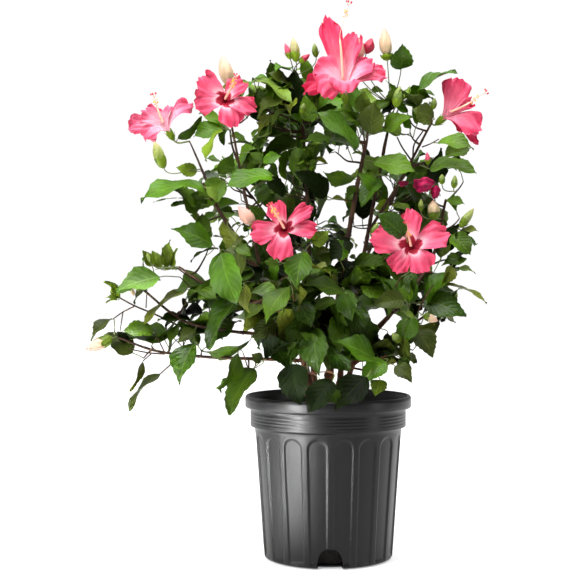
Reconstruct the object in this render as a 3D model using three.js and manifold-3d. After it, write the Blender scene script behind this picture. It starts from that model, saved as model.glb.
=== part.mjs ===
// A flowering hibiscus shrub in a ribbed plastic grower's pot.
// Millimetres, +Z up. The origin is the centre of the pot's flat underside; -Y is the shrub's front.
// Several stems rise from the soil, boughs branch off them, and each cluster of leaves or
// blossom is one uneven closed solid, cut round the limbs that carry it.
import * as THREE from "three";
import { mergeVertices } from "three/addons/utils/BufferGeometryUtils.js";
import Module from "manifold-3d";

const wasm = await Module();
wasm.setup();

// ---- Driving dimensions ----
const CLEARANCE = 0.4; // air left between touching pieces

const POT_HEIGHT = 246;
const RIM_RADIUS = 127;
const RIM_DEPTH = 18; // height of the lip's outer band
const COLLAR_RADIUS = 119.5;
const COLLAR_BOTTOM = 200; // height where the collar steps in to the fluted body
const BODY_TOP_RADIUS = 112.5;
const BASE_RADIUS = 97;
const WALL = 3;
const FLOOR = 3;

const FLUTE_COUNT = 18;
const FLUTE_WIDTH = 30;
const FLUTE_DEPTH = 1.6;
const FLUTE_TOP = 190;
const FLUTE_BOTTOM = 6;
const FLUTE_REACH = 60; // how far a flute's cutter reaches through the wall

const NOTCH_COUNT = 4; // drainage notches round the foot of the wall
const NOTCH_WIDTH = 35;
const NOTCH_TOP_WIDTH = 18;
const NOTCH_HEIGHT = 29;
const NOTCH_SHOULDER = 4; // how much wider the notch is just below its rounded top
const NOTCH_CROWN = 6; // height of the rounded top
const NOTCH_INNER_RADIUS = 82; // how far in the notch cuts the floor

const SOIL_TOP = 222;
const SOIL_CROWN_RADIUS = 60; // the middle stands a little proud of the edge
const SOIL_CROWN = 2;
const ROOT_BALL_FOOT_RADIUS = 79; // set back behind the drainage notches
const ROOT_BALL_FOOT_HEIGHT = 36;

const POT_SIDES = 36; // two facets to each flute pitch
const SOIL_SIDES = POT_SIDES / 2;
const LIMB_SIDES = 5;
const LIMB_STEP = 60; // length of limb between two rings
const FRAME_STEPS = 60; // places along a limb where its direction is worked out
const FLARE_HEIGHT = 22; // distance over which a root flare fades out
const FLARE_CROWDING = 1.4; // above 1, rings stand closer together at a flared foot
const MASS_DETAIL = 1; // how finely a foliage mass is faceted
const UNEVENNESS = 0.13; // how far a foliage mass swells and dips, as a share of its size

// ---- Colours and finishes ----
const potPlastic = new THREE.MeshStandardMaterial({ color: 0x3c3c3e, roughness: 0.45, metalness: 0 });
const soil = new THREE.MeshStandardMaterial({ color: 0x1d1712, roughness: 0.95, metalness: 0 });
const bark = new THREE.MeshStandardMaterial({ color: 0x5b3d2b, roughness: 0.8, metalness: 0 });
const foliage = new THREE.MeshStandardMaterial({ color: 0x3a6b1e, roughness: 0.5, metalness: 0 });
const blossom = new THREE.MeshStandardMaterial({ color: 0xee4a72, roughness: 0.6, metalness: 0 });

// ---- Limbs: a route from foot to tip, and the radius at each end ----
// Stems start on the soil and have a root flare. Boughs start on a stem.
const STEMS = {
  stem_centre: {
    route: [[-6, 0], [7, -5, 315], [19, -15, 417], [38, -15, 532], [57, -20, 632]],
    footRadius: 6.5,
    tipRadius: 2.6,
    flare: 4,
  },
  stem_left: {
    route: [[-24, -15], [-43, -30, 319], [-94, -45, 416], [-150, -50, 502], [-189, -45, 567]],
    footRadius: 6,
    tipRadius: 2.4,
    flare: 4,
  },
  stem_back_left: {
    route: [[-16, 26], [-25, 38, 330], [-28, 45, 451], [-34, 38, 600], [-40, 30, 690]],
    footRadius: 4.6,
    tipRadius: 2,
    flare: 3,
  },
  stem_right: {
    route: [[12, 22], [31, 14, 345], [53, 10, 447], [72, 15, 546], [95, 22, 660]],
    footRadius: 4.6,
    tipRadius: 2,
    flare: 3,
  },
  stem_right_outer: {
    route: [[20, -14], [40, -22, 300], [104, -25, 382], [156, -10, 449], [181, 0, 545]],
    footRadius: 4.2,
    tipRadius: 2,
    flare: 3,
  },
};

const BOUGHS = {
  bough_right_top: {
    route: [[63, 11, 497], [109, 0, 571], [159, -5, 664]],
    footRadius: 2.6,
    tipRadius: 1.7,
  },
  bough_low_left: {
    route: [[-36, -27, 300], [-90, -45, 303], [-186, -50, 307], [-262, -42, 316], [-322, -40, 338]],
    footRadius: 2.8,
    tipRadius: 1.6,
  },
  bough_mid_left: {
    route: [[-52, -34, 338], [-151, -60, 346], [-215, -58, 360], [-280, -44, 408]],
    footRadius: 3,
    tipRadius: 1.6,
  },
  bough_left: {
    route: [[-76, -41, 384], [-154, -75, 399], [-223, -70, 441]],
    footRadius: 2.8,
    tipRadius: 1.6,
  },
  bough_bloom_far_left: {
    route: [[-170, -47, 536], [-196, -40, 600], [-232, -26, 652]],
    footRadius: 2.4,
    tipRadius: 1.5,
  },
  bough_bloom_left: {
    route: [[-100, -45, 425], [-124, -45, 540], [-146, -60, 655]],
    footRadius: 2.8,
    tipRadius: 1.6,
  },
  bough_low_right: {
    route: [[36, -22, 292], [90, -34, 334], [133, -36, 360], [158, -34, 378]],
    footRadius: 2.6,
    tipRadius: 1.6,
  },
  bough_back_left: {
    route: [[-28, 44, 430], [-70, 90, 490], [-120, 125, 560]],
    footRadius: 2.8,
    tipRadius: 1.6,
  },
  bough_back_right: {
    route: [[52, 12, 440], [82, 70, 500], [112, 120, 566]],
    footRadius: 2.8,
    tipRadius: 1.6,
  },
  bough_bloom_mid_right: {
    route: [[52, 9, 444], [82, -56, 452], [104, -116, 470]],
    footRadius: 2.4,
    tipRadius: 1.5,
  },
};

// ---- Foliage masses: name, centre, half size along X, Y and Z ----
const BLOOM_MASSES = [
  ["bloom_top", [24, -40, 757], [66, 60, 90]],
  ["bloom_upper_left", [-155, -60, 701], [48, 45, 54]],
  ["bloom_far_left", [-256, -20, 667], [55, 45, 38]],
  ["bloom_right", [208, -5, 685], [36, 45, 50]],
  ["bloom_mid_right", [111, -150, 478], [62, 45, 50]],
  ["bloom_mid_left", [-66, -160, 490], [55, 45, 47]],
];

const LEAF_MASSES = [
  ["foliage_buds_top_left", [-56, 0, 756], [27, 27, 40]],
  ["foliage_buds_top_right", [106, 15, 768], [27, 30, 46]],
  ["foliage_upper_left", [-112, 8, 682], [66, 50, 62]],
  ["foliage_upper_centre", [-38, 30, 664], [53, 60, 53]],
  ["foliage_centre_top", [25, -30, 651], [54, 50, 42]],
  ["foliage_upper_right", [107, 0, 680], [57, 50, 40]],
  ["foliage_right_high", [164, 8, 728], [40, 22, 22]],
  ["foliage_right", [192, -5, 618], [46, 35, 33]],
  ["foliage_right_buds", [166, -15, 549], [52, 30, 34]],
  ["foliage_left", [-226, -35, 551], [60, 40, 35]],
  ["foliage_left_lower", [-188, -38, 487], [45, 38, 33]],
  ["foliage_upper_mid_left", [-128, -58, 582], [56, 45, 36]],
  ["foliage_inner_upper", [-43, 20, 577], [65, 70, 47]],
  ["foliage_inner_upper_right", [72, 0, 575], [55, 60, 43]],
  ["foliage_far_left", [-270, -40, 432], [66, 36, 40]],
  ["foliage_low_far_left", [-340, -40, 346], [38, 26, 34]],
  ["foliage_low_left", [-224, -50, 324], [70, 38, 56]],
  ["foliage_low_left_hanging", [-276, -40, 264], [30, 20, 46]],
  ["foliage_left_inner", [-173, -65, 392], [40, 40, 50]],
  ["foliage_left_front", [-131, -105, 436], [34, 40, 54]],
  ["foliage_low_left_front", [-131, -88, 288], [34, 36, 58]],
  ["foliage_front_left", [-66, -115, 410], [54, 50, 50]],
  ["foliage_front_centre", [23, -70, 414], [55, 60, 54]],
  ["foliage_front_right", [100, -60, 398], [54, 55, 50]],
  ["foliage_right_low", [189, -10, 396], [54, 35, 42]],
  ["foliage_right_lower", [150, -34, 326], [38, 35, 42]],
  ["foliage_low_centre", [-16, -70, 328], [66, 58, 44]],
  ["foliage_low_right", [68, -80, 300], [52, 48, 38]],
  ["foliage_pot_front", [-23, -132, 268], [60, 27, 32]],
  ["foliage_right_mid", [202, 0, 488], [40, 35, 44]],
  ["foliage_back_top", [-4, 106, 686], [84, 64, 72]],
  ["foliage_back_left", [-142, 112, 560], [84, 64, 80]],
  ["foliage_back_right", [120, 116, 570], [84, 64, 80]],
  ["foliage_back_centre", [-8, 158, 500], [77, 62, 84]],
  ["foliage_back_low_left", [-134, 98, 404], [90, 66, 84]],
  ["foliage_back_low_right", [116, 104, 410], [84, 64, 84]],
  ["foliage_back_low", [-6, 128, 328], [96, 56, 54]],
];

// ---- Solids: helpers that turn a closed geometry into a solid and back ----
function solidOf(geometry) {
  geometry.deleteAttribute("normal");
  geometry.deleteAttribute("uv");
  const merged = mergeVertices(geometry, 1e-3);
  const triVerts = new Uint32Array(merged.index.array);
  return new wasm.Manifold(
    new wasm.Mesh({ numProp: 3, vertProperties: merged.attributes.position.array, triVerts }),
  );
}

function geometryOf(solid) {
  const { vertProperties, triVerts } = solid.getMesh();
  return new THREE.BufferGeometry()
    .setAttribute("position", new THREE.BufferAttribute(new Float32Array(vertProperties), 3))
    .setIndex(new THREE.BufferAttribute(new Uint32Array(triVerts), 1));
}

// A cut can leave crumbs beside the piece itself; only the largest part is the piece.
function largestPart(solid) {
  const parts = solid.decompose();
  return parts.reduce((best, part) => (part.volume() > best.volume() ? part : best));
}

// A profile of [radius, height] points, from axis to axis, turned about the Z axis.
function turnedSolid(profile, sides) {
  const points = profile.map(([radius, height]) => new THREE.Vector2(radius, height));
  const turned = new THREE.LatheGeometry(points, sides);
  turned.rotateX(Math.PI / 2);
  return solidOf(turned);
}

// ---- Pot ----
// Radius of the fluted body's outer face at height z.
function bodyRadius(z) {
  return THREE.MathUtils.mapLinear(z, 0, COLLAR_BOTTOM, BASE_RADIUS, BODY_TOP_RADIUS);
}

// The turned profile: up the outside from the underside's centre, over the lip, down the inside.
function potSolid() {
  const lipBottom = POT_HEIGHT - RIM_DEPTH;
  const collarInner = COLLAR_RADIUS - WALL;
  const profile = [
    [0, 0],
    [BASE_RADIUS, 0],
    [BODY_TOP_RADIUS, COLLAR_BOTTOM - 4],
    [COLLAR_RADIUS, COLLAR_BOTTOM],
    [COLLAR_RADIUS, lipBottom - 2],
    [RIM_RADIUS, lipBottom],
    [RIM_RADIUS, POT_HEIGHT - 3],
    [RIM_RADIUS - 2.5, POT_HEIGHT],
    [RIM_RADIUS - 6.5, POT_HEIGHT],
    [collarInner, POT_HEIGHT - 5],
    [collarInner, COLLAR_BOTTOM + 2],
    [BODY_TOP_RADIUS - WALL, COLLAR_BOTTOM - 6],
    [bodyRadius(FLOOR) - WALL, FLOOR],
    [0, FLOOR],
  ];
  return turnedSolid(profile, POT_SIDES);
}

// A flute is an arch-topped prism that points outwards through the wall.
function flutePrism(angle) {
  const archCentre = FLUTE_TOP - FLUTE_WIDTH / 2;
  const outline = new THREE.Shape();
  outline.moveTo(-FLUTE_WIDTH / 2, FLUTE_BOTTOM);
  outline.lineTo(FLUTE_WIDTH / 2, FLUTE_BOTTOM);
  outline.lineTo(FLUTE_WIDTH / 2, archCentre);
  outline.absarc(0, archCentre, FLUTE_WIDTH / 2, 0, Math.PI, false);
  const settings = { depth: FLUTE_REACH, bevelEnabled: false, curveSegments: 3 };
  const prism = new THREE.ExtrudeGeometry(outline, settings);
  prism.rotateX(Math.PI / 2);
  prism.translate(0, -BASE_RADIUS + FLUTE_REACH / 3, 0);
  prism.rotateZ(angle);
  return solidOf(prism);
}

// The core inside the flutes: the leaning wall's own cone, FLUTE_DEPTH further in.
function fluteCore() {
  const outline = [
    [0, 0],
    [bodyRadius(0) - FLUTE_DEPTH, 0],
    [bodyRadius(COLLAR_BOTTOM) - FLUTE_DEPTH, COLLAR_BOTTOM],
    [0, COLLAR_BOTTOM],
  ];
  return turnedSolid(outline, POT_SIDES);
}

// A drainage notch is an arch with sloping sides, cut through the foot of the wall.
function notchCutter(angle) {
  const shoulder = NOTCH_TOP_WIDTH / 2 + NOTCH_SHOULDER;
  const shoulderHeight = NOTCH_HEIGHT - NOTCH_CROWN;
  const bend = NOTCH_TOP_WIDTH / 2;
  const outline = new THREE.Shape();
  outline.moveTo(-NOTCH_WIDTH / 2, -1);
  outline.lineTo(NOTCH_WIDTH / 2, -1);
  outline.lineTo(shoulder, shoulderHeight);
  outline.quadraticCurveTo(bend, NOTCH_HEIGHT, 0, NOTCH_HEIGHT);
  outline.quadraticCurveTo(-bend, NOTCH_HEIGHT, -shoulder, shoulderHeight);
  const depth = BODY_TOP_RADIUS - NOTCH_INNER_RADIUS;
  const arch = new THREE.ExtrudeGeometry(outline, { depth, bevelEnabled: false, curveSegments: 2 });
  arch.rotateX(Math.PI / 2);
  arch.translate(0, -NOTCH_INNER_RADIUS, 0);
  arch.rotateZ(angle);
  return solidOf(arch);
}

function pot() {
  const core = fluteCore();
  let solid = potSolid();
  for (let i = 0; i < FLUTE_COUNT; i++) {
    solid = solid.subtract(flutePrism(((i + 0.5) / FLUTE_COUNT) * 2 * Math.PI).subtract(core));
  }
  for (let i = 0; i < NOTCH_COUNT; i++) {
    solid = solid.subtract(notchCutter((i / NOTCH_COUNT) * 2 * Math.PI));
  }
  return solid;
}

// ---- Root ball: potting soil that fills the pot to SOIL_TOP, slightly crowned ----
function rootBall() {
  const innerRadius = (z) => bodyRadius(z) - WALL - CLEARANCE;
  const collarInner = COLLAR_RADIUS - WALL - 2 * CLEARANCE;
  const profile = [
    [0, FLOOR + CLEARANCE],
    [ROOT_BALL_FOOT_RADIUS, FLOOR + CLEARANCE],
    [ROOT_BALL_FOOT_RADIUS, NOTCH_HEIGHT + 1],
    [innerRadius(ROOT_BALL_FOOT_HEIGHT), ROOT_BALL_FOOT_HEIGHT],
    [innerRadius(COLLAR_BOTTOM - 8), COLLAR_BOTTOM - 8],
    [collarInner, COLLAR_BOTTOM + 8],
    [collarInner, SOIL_TOP - SOIL_CROWN],
    [SOIL_CROWN_RADIUS, SOIL_TOP],
    [0, SOIL_TOP],
  ];
  return turnedSolid(profile, SOIL_SIDES);
}

// ---- Limbs: a tapered cylinder bent along its route ----
// A route's first point may leave out its height: the stem then starts on the soil.
function limbSolid({ route, footRadius, tipRadius, flare = 0 }, swell = 0) {
  const points = route.map(([x, y, z = SOIL_TOP + CLEARANCE]) => new THREE.Vector3(x, y, z));
  const curve = new THREE.CatmullRomCurve3(points);
  const length = curve.getLength();
  const steps = Math.round(length / LIMB_STEP) + 2;
  const frames = curve.computeFrenetFrames(FRAME_STEPS, false);
  const limb = new THREE.CylinderGeometry(1, 1, 1, LIMB_SIDES, steps);
  const position = limb.getAttribute("position");
  const vertex = new THREE.Vector3();
  for (let i = 0; i < position.count; i++) {
    vertex.fromBufferAttribute(position, i);
    const along = Math.pow(vertex.y + 0.5, flare ? FLARE_CROWDING : 1);
    const frame = Math.round(along * FRAME_STEPS);
    const flared = flare * Math.exp((-along * length) / FLARE_HEIGHT);
    const radius = THREE.MathUtils.lerp(footRadius, tipRadius, along) + flared + swell;
    const spoke = new THREE.Vector3()
      .addScaledVector(frames.binormals[frame], vertex.x * radius)
      .addScaledVector(frames.normals[frame], vertex.z * radius);
    if (frame === 0 && flare) spoke.z = 0; // the flat cut on the soil
    const place = curve.getPointAt(along).add(spoke);
    position.setXYZ(i, place.x, place.y, place.z);
  }
  return solidOf(limb);
}

// ---- Foliage: an ellipsoid whose surface swells and dips in its own way ----
// How far the surface lies outside the ellipsoid in one direction, from about -1 to 1.
function swelling({ x, y, z }, seed) {
  const sideways = Math.sin(3.1 * x + 1.7 * seed) * Math.cos(2.7 * y - seed);
  const upwards = Math.sin(4.3 * z + 2.3 * seed);
  return sideways + 0.7 * upwards;
}

function massSolid([, centre, half], seed, swell = 0) {
  const ball = new THREE.IcosahedronGeometry(1, MASS_DETAIL);
  const position = ball.getAttribute("position");
  const direction = new THREE.Vector3();
  for (let i = 0; i < position.count; i++) {
    direction.fromBufferAttribute(position, i).normalize();
    const bulge = 1 + UNEVENNESS * swelling(direction, seed);
    position.setXYZ(
      i,
      centre[0] + direction.x * (half[0] * bulge + swell),
      centre[1] + direction.y * (half[1] * bulge + swell),
      centre[2] + direction.z * (half[2] * bulge + swell),
    );
  }
  return solidOf(ball);
}

// The space the pot takes up, so that leaves hanging over its rim stay outside it.
function potEnvelope() {
  const height = POT_HEIGHT + CLEARANCE;
  const radius = RIM_RADIUS + 1;
  const drum = new THREE.CylinderGeometry(radius, radius, height, POT_SIDES);
  drum.rotateX(Math.PI / 2);
  drum.translate(0, 0, height / 2);
  return solidOf(drum);
}

// ---- Assembly ----
const shrub = new THREE.Group();

function place(name, solid, material) {
  const mesh = new THREE.Mesh(geometryOf(solid), material);
  mesh.name = name;
  shrub.add(mesh);
}

place("pot", pot(), potPlastic);
place("potting_soil", rootBall(), soil);

// Each limb or mass is cut back to the pieces placed before it.
let taken = rootBall();
for (const [name, limb] of Object.entries({ ...STEMS, ...BOUGHS })) {
  place(name, largestPart(limbSolid(limb).subtract(taken)), bark);
  taken = taken.add(limbSolid(limb, CLEARANCE));
}
taken = taken.add(potEnvelope());

const MASSES = [
  ...BLOOM_MASSES.map((mass) => [mass, blossom]),
  ...LEAF_MASSES.map((mass) => [mass, foliage]),
];
MASSES.forEach(([mass, material], index) => {
  const seed = index + 1;
  place(mass[0], largestPart(massSolid(mass, seed).subtract(taken)), material);
  taken = taken.add(massSolid(mass, seed, CLEARANCE));
});

export default shrub;
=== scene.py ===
# %% [markdown]
# # A flowering hibiscus in its nursery pot
# The plant is a shrub of five woody stems from one root ball, with six open blooms. Every solid of
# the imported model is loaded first, as a fixed frame: it says where each stem, bough and mass of
# leaves is. Then each is replaced by a finer mesh that grows in the same place. Lengths are metres.

# %% Load the frame
import bpy
import numpy as np
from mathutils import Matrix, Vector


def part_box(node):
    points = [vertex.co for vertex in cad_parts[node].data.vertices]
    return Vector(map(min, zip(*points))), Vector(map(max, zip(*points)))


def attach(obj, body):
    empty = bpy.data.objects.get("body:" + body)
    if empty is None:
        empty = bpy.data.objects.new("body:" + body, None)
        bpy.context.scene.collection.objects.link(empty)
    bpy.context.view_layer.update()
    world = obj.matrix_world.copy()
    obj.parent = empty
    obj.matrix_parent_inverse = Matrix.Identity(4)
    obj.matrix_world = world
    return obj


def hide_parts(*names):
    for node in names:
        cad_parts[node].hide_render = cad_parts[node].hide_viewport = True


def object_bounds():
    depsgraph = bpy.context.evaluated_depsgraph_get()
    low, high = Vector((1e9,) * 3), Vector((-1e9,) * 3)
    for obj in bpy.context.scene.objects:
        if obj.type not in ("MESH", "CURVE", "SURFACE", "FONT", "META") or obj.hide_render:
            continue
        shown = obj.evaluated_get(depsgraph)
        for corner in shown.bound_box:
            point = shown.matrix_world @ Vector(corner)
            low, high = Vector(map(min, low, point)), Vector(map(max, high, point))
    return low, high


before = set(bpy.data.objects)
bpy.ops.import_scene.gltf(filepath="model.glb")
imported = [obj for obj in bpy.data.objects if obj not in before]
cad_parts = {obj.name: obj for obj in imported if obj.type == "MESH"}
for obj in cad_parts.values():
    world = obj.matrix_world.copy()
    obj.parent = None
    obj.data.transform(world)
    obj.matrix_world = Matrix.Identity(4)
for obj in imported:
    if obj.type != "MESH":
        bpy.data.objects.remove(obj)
cad_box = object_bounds()
cad_sizes = [round(high - low, 3) for low, high in zip(*cad_box)]
print(len(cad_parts), "solids,", *cad_sizes, "metres over all")

# %% [markdown]
# ## Where the eye stands
# A shrub is looked at level, from a little under two metres away. Places on the front of the plant
# are easiest to give as a column and row of that front view plus a depth, so one function turns
# them into points. The same numbers set the camera, so that the two always agree.

# %% The front view and its camera
FRAME_SIZE = 573
EYE = np.array([-0.0637, -1.899, 0.412])
FOCAL_PIXELS = 1237.0
MIDDLE = FRAME_SIZE / 2
SENSOR_MM = 36.0


def place(columns, rows, depths):
    """Points that show at those columns and rows of the front view, `depths` metres behind the pot's
    axis: the offset from the view's middle, times the distance, over the focal length."""
    columns, rows, depths = np.broadcast_arrays(*(np.asarray(v, float) for v in (columns, rows, depths)))
    scale = (depths - EYE[1]) / FOCAL_PIXELS
    return np.stack([EYE[0] + (columns - MIDDLE) * scale, depths, EYE[2] - (rows - MIDDLE) * scale], -1)


def shown_at(points):
    """The column and row of the front view at which points show: the inverse of `place`."""
    scale = (points[..., 1] - EYE[1]) / FOCAL_PIXELS
    return MIDDLE + (points[..., 0] - EYE[0]) / scale, MIDDLE - (points[..., 2] - EYE[2]) / scale


camera_data = bpy.data.cameras.new("front_view")
camera_data.sensor_width = SENSOR_MM
camera_data.lens = FOCAL_PIXELS / FRAME_SIZE * SENSOR_MM
camera = bpy.data.objects.new("front_view", camera_data)
camera.location = EYE
camera.rotation_euler = (np.pi / 2, 0, 0)
bpy.context.scene.collection.objects.link(camera)
bpy.context.scene.camera = camera
print("lens", round(camera_data.lens, 1), "mm")

# %% [markdown]
# ## From arrays to a mesh
# Everything on a plant is a surface over two parameters: along and across a leaf, along and round a
# twig. Such a surface is a grid of points, and its faces follow from the grid alone. Many leaves are
# one array with one more axis. Blender takes whole arrays with foreach_set, which is far faster than
# adding vertices one by one.


# %% Grids, copies and pieces
def grid_faces(rows, columns, round_columns=False):
    """Quads of a grid whose vertices are counted row by row; round_columns closes each row on itself."""
    across = columns if round_columns else columns - 1
    r, c = np.meshgrid(np.arange(rows - 1), np.arange(across), indexing="ij")
    right = (c + 1) % columns
    quads = [r * columns + c, r * columns + right, (r + 1) * columns + right, (r + 1) * columns + c]
    return np.stack(quads, -1).reshape(-1, 4)


def closed_faces(rows, columns):
    """Faces of a closed skin: a grid round an axis, and a fan to each of two poles counted after it."""
    ring = np.arange(columns)
    after = np.roll(ring, -1)
    end, pole = (rows - 1) * columns, rows * columns
    first_fan = np.stack([np.full(columns, pole), after, ring], 1)
    last_fan = np.stack([np.full(columns, pole + 1), ring + end, after + end], 1)
    return [grid_faces(rows, columns, round_columns=True), np.concatenate([first_fan, last_fan])]


def repeated(faces, copies, step):
    """The same faces for each of `copies` shapes that hold `step` vertices each."""
    return (faces[None] + np.arange(copies)[:, None, None] * step).reshape(-1, faces.shape[1])


def unit(vectors):
    """Vectors of length one, in the same directions."""
    return vectors / np.maximum(np.linalg.norm(vectors, axis=-1, keepdims=True), 1e-9)


def full_turn(count):
    """`count` even angles round one turn, the first of them 0."""
    return np.linspace(0, 2 * np.pi, count, endpoint=False)


def spokes(turn, first, second):
    """Directions round an axis: cos a * first + sin a * second, for the angles a of turn."""
    return np.cos(turn)[..., None] * first + np.sin(turn)[..., None] * second


def make_piece(name, points, face_sets, material, slot, uv=None, attributes=None):
    """A smooth mesh object from points, face arrays, per-vertex UV places and named per-vertex numbers."""
    points = np.asarray(points, np.float32).reshape(-1, 3)
    loops = np.concatenate([f.ravel() for f in face_sets]).astype(np.int32)
    sizes = np.concatenate([np.full(len(f), f.shape[1]) for f in face_sets])
    mesh = bpy.data.meshes.new(name)
    mesh.vertices.add(len(points))
    mesh.vertices.foreach_set("co", points.ravel())
    mesh.loops.add(len(loops))
    mesh.loops.foreach_set("vertex_index", loops)
    mesh.polygons.add(len(sizes))
    mesh.polygons.foreach_set("loop_start", (np.cumsum(sizes) - sizes).astype(np.int32))
    mesh.polygons.foreach_set("use_smooth", np.ones(len(sizes), bool))
    if uv is not None:
        layer = mesh.uv_layers.new(name="surface")
        layer.data.foreach_set("uv", np.asarray(uv, np.float32).reshape(-1, 2)[loops].ravel())
    for key, values in (attributes or {}).items():
        mesh.attributes.new(key, "FLOAT", "POINT").data.foreach_set("value", np.float32(values).ravel())
    mesh.update(calc_edges=True)
    mesh.validate()
    mesh.materials.append(material)
    made = bpy.data.objects.new(name, mesh)
    bpy.context.scene.collection.objects.link(made)
    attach(made, "root")
    triangles = int((sizes - 2).sum())
    print(name, triangles, "triangles")
    return made


# %% [markdown]
# ## Finishes as formulas
# A finish is a small formula: a leaf's colour is its green plus a lighter vein where a mask says so.
# Nodes can be wired one by one, but a formula is easier to read, so one class wraps a socket and
# lets Python's own operators add the nodes.


# %% The socket class
class Wire:
    """A node's output as a value in a formula: + - * / on wires and numbers add Math nodes."""

    def __init__(self, tree, socket=None):
        self.tree, self.socket = tree, socket

    def node(self, kind, settings=None, sockets=None, out=0):
        """Adds a node of that type with those settings, then sets or links its sockets. Gives one output."""
        made = self.tree.nodes.new(kind)
        for key, value in (settings or {}).items():
            if key == "stops":
                elements = made.color_ramp.elements
                while len(elements) < len(value):
                    elements.new(0.5)
                for stop, (position, colour) in zip(elements, value):
                    stop.position, stop.color = position, colour
            else:
                setattr(made, key, value)
        for key, value in (sockets or {}).items():
            if isinstance(value, Wire):
                self.tree.links.new(value.socket, made.inputs[key])
            else:
                made.inputs[key].default_value = value
        return Wire(self.tree, made.outputs[out])

    def math(self, operation, *terms):
        """The Math node of that operation on terms."""
        return self.node("ShaderNodeMath", {"operation": operation}, dict(enumerate(terms)))

    def __add__(self, other):
        return self.math("ADD", self, other)

    def __sub__(self, other):
        return self.math("SUBTRACT", self, other)

    def __rsub__(self, other):
        return self.math("SUBTRACT", other, self)

    def __mul__(self, other):
        return self.math("MULTIPLY", self, other)

    def __abs__(self):
        return self.math("ABSOLUTE", self)

    __radd__ = __add__
    __rmul__ = __mul__

    def largest(self, other):
        """The larger of this value and another."""
        return self.math("MAXIMUM", self, other)

    def part(self, axis):
        """One part of this vector: 0 for x, 1 for y and 2 for z."""
        return self.node("ShaderNodeSeparateXYZ", {}, {"Vector": self}, out=axis)

    def between(self, low, high):
        """0 below low, 1 above high and a smooth rise between; a low above high makes it fall."""
        inputs = {"Value": self, "From Min": low, "From Max": high}
        return self.node("ShaderNodeMapRange", {"interpolation_type": "SMOOTHSTEP"}, inputs)

    def mixed(self, first, second):
        """first where this mask is 0 and second where it is 1, for colours."""
        inputs = {0: self, 6: first, 7: second}
        return self.node("ShaderNodeMix", {"data_type": "RGBA"}, inputs, out=2)


def srgb(red, green, blue):
    """A colour given as it shows on a screen, 0 to 255, as the linear colour that a shader wants."""
    seen = np.array([red, green, blue]) / 255
    linear = np.where(seen <= 0.04045, seen / 12.92, ((seen + 0.055) / 1.055) ** 2.4)
    return (*(float(c) for c in linear), 1.0)


def new_finish(name, **constants):
    """A material with one Principled shader, whose unchanging sockets are set directly. Returns the
    material, its shader and a wire to start formulas from."""
    material = bpy.data.materials.new(name)
    material.use_nodes = True
    shader = material.node_tree.nodes["Principled BSDF"]
    for key, value in constants.items():
        shader.inputs[key.replace("_", " ")].default_value = value
    return material, shader, Wire(material.node_tree)


def feed(shader, socket, wire):
    """Links a wire to one socket of the shader."""
    wire.tree.links.new(wire.socket, shader.inputs[socket])


def texture_place(wire, source="Object", scale=(1, 1, 1)):
    """Texture coordinates of that source, stretched by scale."""
    coordinates = wire.node("ShaderNodeTexCoord", out={"Object": 3, "UV": 2}[source])
    return wire.node("ShaderNodeMapping", {}, {"Vector": coordinates, "Scale": scale})


def ramp(wire, at, stops):
    """A colour that runs through the stops, each a place from 0 to 1 and a colour as it shows."""
    stops = [(position, srgb(*colour)) for position, colour in stops]
    return wire.node("ShaderNodeValToRGB", {"stops": stops}, {"Fac": at})


def attribute(wire, name):
    """The mesh's own number of that name at each vertex."""
    return wire.node("ShaderNodeAttribute", {"attribute_name": name}, out=2)


def noise(wire, vector, scale, detail=2.0, roughness=0.5):
    """Soft random values from 0 to 1 over that vector."""
    settings = {"Vector": vector, "Scale": scale, "Detail": detail, "Roughness": roughness}
    return wire.node("ShaderNodeTexNoise", {}, settings)


def bump(wire, height, strength, distance):
    """The normal of a surface raised by height."""
    return wire.node("ShaderNodeBump", {}, {"Height": height, "Strength": strength, "Distance": distance})


def speckled_finish(name, first, second, grain, roughness):
    """A finish whose colour wanders softly between two, on noise of that scale."""
    material, shader, wire = new_finish(name, Roughness=roughness)
    feed(shader, "Base Color", noise(wire, texture_place(wire), grain).mixed(srgb(*first), srgb(*second)))
    return material


# %% [markdown]
# ## Light, floor and sky
# A plant for a catalogue is lit softly from above and from the upper left. Weaker panels stand low
# at both sides, a narrow card lights the pot's rim, and a wash keeps the floor pale at the left. A
# pale room fills the shadows. Semi-gloss plastic shows those lights as long soft streaks, so their
# sizes matter more than their strengths.


# %% Floor, room and lamps
def lamp(name, at, target, size, watts, spread):
    """An area light at a place, turned so that its face looks at the target. spread is in degrees."""
    data = bpy.data.lights.new(name, "AREA")
    data.shape, data.size, data.size_y, data.energy = "RECTANGLE", size[0], size[1], watts
    data.spread = np.radians(spread)
    made = bpy.data.objects.new(name, data)
    made.location = at
    towards = (np.array(target) - np.array(at)).tolist()
    made.rotation_euler = Vector(towards).to_track_quat("-Z", "Y").to_euler()
    bpy.context.scene.collection.objects.link(made)


def grey(value):
    """An even grey as a linear colour."""
    return (value, value, value, 1.0)


CROWN_MIDDLE = (-0.03, -0.02, 0.5)
POT_MIDDLE = (0, 0, 0.2)
LAMPS = {
    "key_softbox": ((-1.2, -1.2, 1.8), CROWN_MIDDLE, (1.2, 1.2), 34, 180),
    "top_softbox": ((0.0, -0.4, 1.9), CROWN_MIDDLE, (1.6, 1.2), 46, 180),
    "side_panel": ((1.6, -0.7, 0.35), POT_MIDDLE, (0.35, 0.7), 3, 180),
    "left_low_panel": ((-1.7, -0.95, 0.12), POT_MIDDLE, (0.5, 0.4), 5, 180),
    "rim_card": ((-0.90, -0.96, 0.12), (-0.05, -0.11, 0.215), (0.22, 0.16), 0.2, 12),
    "left_floor_wash": ((-0.56, -0.30, 0.7), (-0.56, -0.30, 0), (0.6, 0.3), 18, 36),
}
for name, settings in LAMPS.items():
    lamp(name, *settings)

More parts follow.
